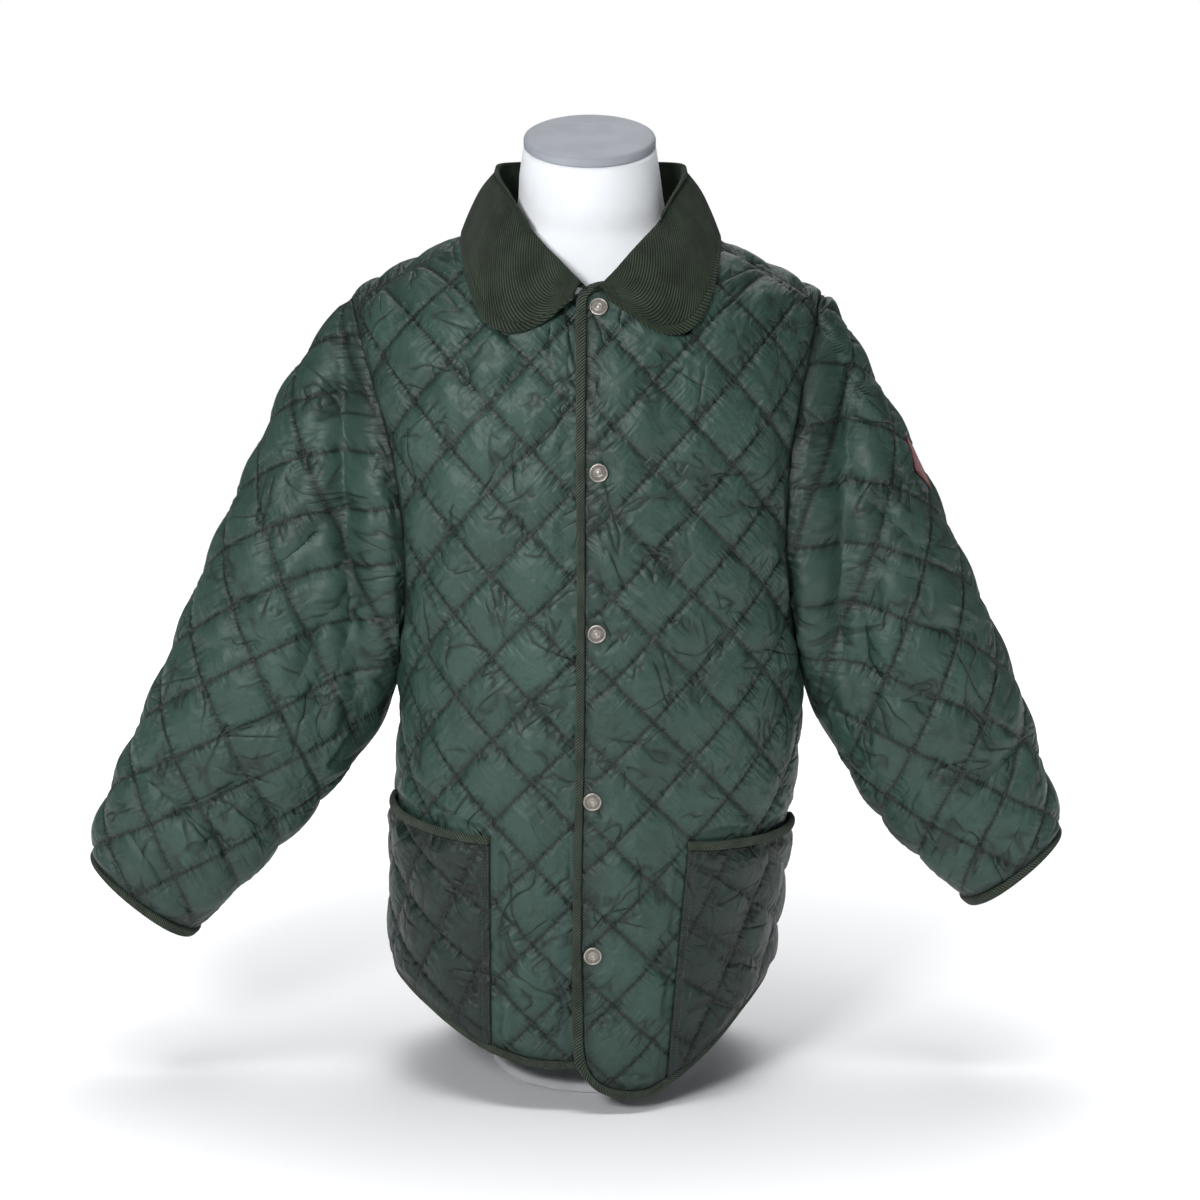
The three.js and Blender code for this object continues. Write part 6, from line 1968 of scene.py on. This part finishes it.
def collar_object():
    half = np.linspace(COLLAR["around"][0], 180, COLLAR_HALF_ROWS)
    around = np.concatenate([half, half[-2::-1]])
    x_sign = np.concatenate([np.full(len(half), -1.0), np.full(len(half) - 1, 1.0)])
    is_front = read(COLLAR, "around", around)["edge_y"] < 0
    places = np.zeros((8, len(around), 3))
    outward = np.zeros((len(around), 3))
    for face, chosen in (("front", is_front), ("back", ~is_front)):
        places[:, chosen], outward[chosen] = collar_hidden_rows(face, around[chosen], x_sign[chosen])
    for _ in range(3):
        inner = places[:, 1:-1]
        places[:, 1:-1] = (places[:, :-2] + 2 * inner + places[:, 2:]) / 4
    hidden = rounded(places, False, COLLAR_CURVE_STEPS)
    first = hidden[1:2] - hidden[:1]
    last = hidden[-1:] - hidden[-2:-1]
    step = np.concatenate([first, hidden[2:] - hidden[:-2], last])
    side = np.stack([-outward[:, 1], outward[:, 0], 0 * outward[:, 0]], axis=1)
    normal = np.cross(np.broadcast_to(side, hidden.shape), step)
    normal /= np.maximum(np.linalg.norm(normal, axis=2, keepdims=True), 1e-9)
    visible = hidden + normal * COLLAR_THICKNESS
    middle = (hidden + visible) / 2
    radius = COLLAR_THICKNESS / 2
    lip = step[-1] / np.linalg.norm(step[-1], axis=1, keepdims=True)
    rim = []
    rim_middle = []
    for k in range(1, RIM_STEPS + 1):
        turn = math.pi * k / (RIM_STEPS + 1)
        core = middle[-1] + lip * radius * math.sin(turn)
        rim.append(core - normal[-1] * radius * math.cos(turn))
        rim_middle.append(core)
    loop = np.concatenate([hidden, rim, visible[::-1]]).transpose(1, 0, 2)
    core = np.concatenate([middle, rim_middle, middle[::-1]]).transpose(1, 0, 2)

    def end_rows(index, before):
        away = core[index] - core[before]
        away /= np.maximum(np.linalg.norm(away, axis=1, keepdims=True), 1e-9)
        across = loop[index] - core[index]
        turns = [math.pi / 2 * k / END_STEPS for k in range(1, END_STEPS)]
        return [core[index] + across * math.cos(t) + away * radius * math.sin(t) for t in turns]

    rows = np.array(end_rows(0, 1)[::-1] + list(loop) + end_rows(-1, -2))
    width = rows.shape[1]
    count = len(hidden)
    run = run_lengths(rows[:, count * 3 // 4])
    round_rows = np.concatenate([rows, rows[:, :1]], axis=1)
    profile = np.linalg.norm(np.diff(round_rows, axis=1), axis=2).mean(axis=0)
    v = np.concatenate([[0], np.cumsum(profile)])
    u = np.append(run, run[-1] + 1)
    piece = tube_object("collar_corduroy", rows, corduroy, u, v)
    from_lip = np.abs(v[:-1] - v[count + RIM_STEPS // 2])
    from_end = np.minimum(run, run[-1] - run)
    leaf_from = v[4 * COLLAR_CURVE_STEPS]
    leaf_to = v[width - 4 * COLLAR_CURVE_STEPS]
    on_leaf = np.where((v[:-1] > leaf_from) & (v[:-1] < leaf_to), 0, FAR_FROM_EDGE)
    edge = np.minimum(from_lip[None, :], from_end[:, None] + on_leaf[None, :])
    mark(piece, "edge", edge.ravel())
    spread, side_of = [
        np.concatenate([column[:1].repeat(END_STEPS - 1), column, column[-1:].repeat(END_STEPS - 1)])
        for column in (around, x_sign)
    ]
    straightened = smooth_step(COLLAR_STRAIGHT_FROM, COLLAR_STRAIGHT_TO, spread)
    turn = -side_of * COLLAR_WALE_TURN * (1 - straightened)
    straight = np.concatenate([[0], np.cumsum(np.diff(run) * np.cos(turn[1:]))])
    from_middle = v[:-1] - v[count + RIM_STEPS + count // 3]
    wales = straight[:, None] + from_middle[None, :] * np.sin(turn)[:, None]
    mark(piece, "wale", wales.ravel() * MM)
    leaf = (visible + normal * COLLAR_STITCH_LIFT)[::-1][: 3 * COLLAR_CURVE_STEPS]
    return piece, leaf, (float(v[count]) * MM, float(run[-1]) * MM)


collar_piece, collar_leaf, collar_flat = collar_object()
finished(collar_piece, "corduroy", "collar")
for row in COLLAR_STITCH_ROWS:
    line = collar_leaf[row][3:-3]
    sewn_edges.append((line, [(k, k + 1) for k in range(len(line) - 1)]))


# Snaps

SNAP_PROFILE = [
    (0, 0),
    (6.9, 0),
    (8.1, 0.15),
    (8.6, 0.8),
    (8.5, 1.7),
    (8.0, 2.25),
    (7.5, 2.4),
    (7.05, 2.25),
    (6.8, 1.85),
    (6.5, 1.75),
    (5.0, 1.8),
    (3.9, 1.85),
    (3.65, 2.2),
    (3.35, 2.4),
    (3.0, 2.25),
    (2.7, 1.95),
    (1.6, 2.1),
    (0.7, 2.35),
    (0, 2.42),
]
SNAP_SIDES = 48
DOTS_ROUND = 26
DOT_RING = 5.75
DOT_RADIUS = 0.34
DOT_SEAT = 1.85


def standing(points, seat, normal):
    """Points about the Z axis, stood on a seat along its normal."""
    turn = Vector((0, 0, 1)).rotation_difference(Vector(normal)).to_matrix()
    return points @ np.array(turn).T + seat


def level_ring(radius, height, sides):
    angle = 2 * math.pi * np.arange(sides) / sides
    return np.stack([radius * np.cos(angle), radius * np.sin(angle), np.full(sides, height)], axis=1)


def turned_points(profile, sides):
    profile = np.asarray(profile, float)
    rings = [level_ring(radius, height, sides) for radius, height in profile[1:-1]]
    points = np.concatenate([[[0, 0, profile[0][1]]], *rings, [[0, 0, profile[-1][1]]]])
    faces = [(0, 1 + (k + 1) % sides, 1 + k) for k in range(sides)]
    for i in range(len(rings) - 1):
        low = 1 + i * sides
        for k in range(sides):
            n = (k + 1) % sides
            faces.append((low + k, low + n, low + sides + n, low + sides + k))
    top = 1 + (len(rings) - 1) * sides
    faces += [(top + k, top + (k + 1) % sides, len(points) - 1) for k in range(sides)]
    return points, faces


dots = []
for name, (across, along) in snap_places.items():
    low = wrap_over(across, along, SNAP_DIMPLE["thickness"] + 0.1)[0]
    normal = unit(wrap_over(across, along, 6) - low)[0]
    points, faces = turned_points(rounded(SNAP_PROFILE, False, 2), SNAP_SIDES)
    cap = cloth_object(name + "_cap", standing(points, low, normal), faces, pewter)
    mark(cap, "height", points[:, 2])
    turn_outwards(cap)
    finished(cap, "pewter", name)
    dots.append(standing(level_ring(DOT_RING, DOT_SEAT, DOTS_ROUND), low, normal))
dot_sizes = {"Radius": DOT_RADIUS * MM, "Metal": pewter}
finished(grown("snap_dots", np.concatenate(dots), [], raised_dots, dot_sizes), "pewter")


# Sleeve patch

PATCH_GRID = 20
PATCH_RIM_IN = 0.055
PATCH_RIM_WIDTH = 0.05
PATCH_SINK = 1.1


def patch_object():
    a, b = np.meshgrid(np.linspace(0, 1, PATCH_GRID + 1), np.linspace(0, 1, PATCH_GRID + 1))
    a = a.ravel()
    b = b.ravel()
    across = PATCH["across"] + (a - b) * PATCH["half_width"]
    along = PATCH["along"] + (a + b - 1) * PATCH["half_height"]
    from_edge = np.minimum(np.minimum(a, 1 - a), np.minimum(b, 1 - b))
    rim = np.exp(-(((from_edge - PATCH_RIM_IN) / PATCH_RIM_WIDTH) ** 2))
    seat = PATCH["lift"] - PATCH_SINK
    top = seat + PATCH["thickness"] * (0.55 + 0.6 * rim)
    low = np.full_like(top, seat)
    wrap = on_sleeve("left_hand")
    points = np.concatenate([wrap(across, along, top), wrap(across, along, low)])
    row = PATCH_GRID + 1
    layer = row * row
    faces = []
    for i in range(PATCH_GRID):
        for j in range(PATCH_GRID):
            k = i * row + j
            faces.append((k, k + 1, k + row + 1, k + row))
            faces.append((layer + k, layer + k + row, layer + k + row + 1, layer + k + 1))
    ring = list(range(0, row - 1)) + list(range(row - 1, layer - 1, row))
    ring += list(range(layer - 1, layer - row, -1)) + list(range(layer - row, 0, -row))
    for k, here in enumerate(ring):
        there = ring[(k + 1) % len(ring)]
        faces.append((there, here, layer + here, layer + there))
    piece = cloth_object("sleeve_patch_twill", points, faces, twill)
    flat = np.stack([across, along], axis=1) * MM
    lay_uv(piece, "pattern", np.concatenate([flat, flat]))
    turn_outwards(piece)
    return piece


finished(patch_object(), "twill", "sleeve_patch")


# Stitches

quilt_runs = [panel.stitched_lines() for panel in panels.values()]
finished(sewn("quilting_stitches", quilt_runs, QUILTING_STITCH), "nylon")
finished(sewn("edge_stitches", sewn_edges, EDGE_STITCH), "nylon")


# Dress form and stand

FORM_SIDES = 96
FORM_ROWS = 120
FORM_BOTTOM = 300
FORM_HEM_TOP = 309
FORM_TOP = 862
ROUND_BELOW = 72
SQUARE_ABOVE = 118


def form_object():
    """The form's own rings, from the shoulders' underside up to the tilted top of the neck."""
    angle = 2 * math.pi * np.arange(FORM_SIDES) / FORM_SIDES
    heights = np.linspace(FORM_BOTTOM, FORM_TOP, FORM_ROWS)
    row = read(FORM_SECTIONS, "height", heights)
    hem = smooth_step(FORM_BOTTOM, FORM_HEM_TOP, heights)
    half_width = row["half_width"] * (0.955 + 0.045 * hem)
    depth = row["depth"] * (0.94 + 0.06 * hem)
    power = 2 + (RING_POWER - 2) * smooth_step(ROUND_BELOW, SQUARE_ABOVE, row["half_width"])
    rings = []
    for centre, wide, deep, exponent, height in zip(row["centre"], half_width, depth, power, heights):
        x = centre + wide * signed_power(np.cos(angle), 2 / exponent)
        y = deep * signed_power(np.sin(angle), 2 / exponent)
        rings.append(np.stack([x, y, np.full_like(x, height)], axis=1))
    neck_centre = row["centre"][-1]
    for share in (0.25, 0.5, 0.75, 1.0):
        wide = row["half_width"][-1] * (1 - share) + NECK_TOP["radius"] * share
        deep = row["depth"][-1] * (1 - share) + NECK_TOP["radius"] * share
        y = deep * np.sin(angle)
        z = FORM_TOP + (NECK_TOP["height"] - FORM_TOP) * share + y * math.tan(NECK_TOP["tilt"]) * share
        rings.append(np.stack([neck_centre + wide * np.cos(angle), y, z], axis=1))
    rows = np.array(rings)
    closed = np.concatenate([rows, rows[:, :1]], axis=1)
    v = run_lengths(closed[40])
    height = run_lengths(rows[:, 0])
    return tube_object("dress_form_jersey", rows, jersey, np.append(height, height[-1] + 1), v)


finished(form_object(), "form_cloth", "dress_form")


CAP_SIDES = 120
CAP_FACE = CAP_THICKNESS - 0.1
CAP_RIDGE_AT = 24
CAP_RIDGE_WIDTH = 1.8
CAP_RIDGE_HEIGHT = 1.1
CAP_DOME = 0.1


def cap_object():
    """The neck's cap: a low disc with a rounded rim and a raised ridge straight across it."""
    radius = NECK_TOP["radius"]
    profile = [
        (0, 0),
        (radius - 1.5, 0),
        (radius - 0.3, 0.6),
        (radius, 1.8),
        (radius, CAP_THICKNESS - 3.2),
        (radius - 0.8, CAP_THICKNESS - 1.3),
        (radius - 2.6, CAP_THICKNESS - 0.3),
        (radius - 6, CAP_FACE),
    ]
    spread = [(radius - 6 - k * 2.2, CAP_FACE) for k in range(1, 25)]
    points, faces = turned_points(profile + spread + [(0, CAP_FACE)], CAP_SIDES)
    from_middle = np.hypot(points[:, 0], points[:, 1])
    ridge = np.exp(-(((points[:, 1] - CAP_RIDGE_AT) / CAP_RIDGE_WIDTH) ** 2)) * (from_middle < radius - 3)
    on_top = points[:, 2] > CAP_THICKNESS / 2
    points[:, 2] += CAP_DOME * on_top * (1 - (from_middle / radius) ** 2)
    points[:, 2] += CAP_RIDGE_HEIGHT * ridge * on_top
    tilt = NECK_TOP["tilt"]
    turn = np.array(Matrix.Rotation(tilt, 3, "X"))
    centre = FORM_SECTIONS["centre"][-1]
    seat = np.array([centre, -math.sin(tilt) * 0.1, NECK_TOP["height"] + math.cos(tilt) * 0.1])
    return cloth_object("neck_cap_disc", points @ turn.T + seat, faces, cap_grey)


finished(cap_object(), "cap_plastic", "neck_cap")

POLE_PROFILE = [
    (0, 12),
    (14, 12),
    (19, 12.3),
    (20, 14),
    (19.4, 22),
    (15.6, 26),
    (15, 30),
    (15, 299),
    (0, 299.6),
]
BASE_PROFILE = [
    (0, 0),
    (97, 0),
    (100, 1.2),
    (100, 7.6),
    (98.6, 10.2),
    (95.6, 11.6),
    (90, 12),
    (24, 12.2),
    (0, 12.2),
]
for name, node, profile, sides in (
    ("stand_pole_tube", "stand_pole", POLE_PROFILE, 64),
    ("stand_base_plate", "stand_base", BASE_PROFILE, 128),
):
    points, faces = turned_points(profile, sides)
    finished(cloth_object(name, points, faces, painted_steel), "steel", node)


# What each piece of cloth was cut to

for name, panel in panels.items():
    flat, area = panel.flat_size()
for name, length in bound_lengths.items():
    flat = (BOUND_WIDTH, float(length))


# Floor, light and camera

FLOOR_CORNERS = [(-2.2, -1.3, 0), (2.2, -1.3, 0), (2.2, 2.2, 0), (-2.2, 2.2, 0)]
floor_mesh = bpy.data.meshes.new("floor")
floor_mesh.from_pydata(FLOOR_CORNERS, [], [(0, 1, 2, 3)])
floor_mesh.materials.append(pale_floor)
placed("floor", floor_mesh)

world = bpy.data.worlds.new("studio")
world.use_nodes = True
studio = world.node_tree
room = studio.nodes["Background"]
room.inputs["Color"].default_value = colour(0.93, 0.96, 1.0)
room.inputs["Strength"].default_value = 0.17
backdrop = studio.nodes.new("ShaderNodeBackground")
backdrop.inputs["Color"].default_value = colour(1.0, 1.0, 1.0)
seen = studio.nodes.new("ShaderNodeLightPath")
chosen = studio.nodes.new("ShaderNodeMixShader")
studio.links.new(seen.outputs["Is Camera Ray"], chosen.inputs[0])
studio.links.new(room.outputs[0], chosen.inputs[1])
studio.links.new(backdrop.outputs[0], chosen.inputs[2])
studio.links.new(chosen.outputs[0], studio.nodes["World Output"].inputs["Surface"])
bpy.context.scene.world = world
bpy.context.scene.view_settings.view_transform = "Standard"


MIDDLE = (0, 0, 0.5)

# Each light: its place, what it is aimed at, its two sizes, its power in watts, its spread in degrees
LIGHTS = [
    ("key", (-0.75, -1.75, 1.35), (0, 0, 0.62), (0.5, 0.5), 6.6, 84),
    ("fill", (1.7, -1.9, 0.9), MIDDLE, (1.2, 1.2), 1.6, 180),
    ("top", (0.1, 0.9, 2.4), MIDDLE, (1.4, 1.0), 10, 180),
    ("rim", (0.6, 2.2, 1.8), MIDDLE, (1.6, 1.4), 8, 180),
    ("floor_behind", (0, 2.0, 2.6), (0, 2.0, 0), (6.0, 2.6), 84, 70),
    ("floor_before", (0, -1.0, 2.6), (0, -1.0, 0), (6.0, 1.1), 34, 44),
    ("floor_beside", (-1.9, 0.2, 2.6), (-1.9, 0.2, 0), (1.7, 1.4), 13, 50),
    ("floor_beside", (1.9, 0.2, 2.6), (1.9, 0.2, 0), (1.7, 1.4), 13, 50),
]


def soft_light(name, place, aim, size, power, spread):
    data = bpy.data.lights.new(name, "AREA")
    data.spread = math.radians(spread)
    data.shape = "RECTANGLE"
    data.size, data.size_y = size
    data.energy = power
    light = placed(name, data)
    light.location = place
    light.rotation_euler = (Vector(aim) - Vector(place)).to_track_quat("-Z", "Y").to_euler()


for light in LIGHTS:
    soft_light(*light)

CAMERA_LENS = 86.67
CAMERA_SENSOR = 36
CAMERA_PLACE = (0.0045, -2.6932, 1.0316)
CAMERA_TILT = math.radians(78)
camera_data = bpy.data.cameras.new("camera")
camera_data.lens = CAMERA_LENS
camera_data.sensor_width = CAMERA_SENSOR
camera_data.sensor_fit = "HORIZONTAL"
camera = placed("camera", camera_data)
camera.location = CAMERA_PLACE
camera.rotation_euler = (CAMERA_TILT, 0, 0)
bpy.context.scene.camera = camera

bpy.context.view_layer.update()
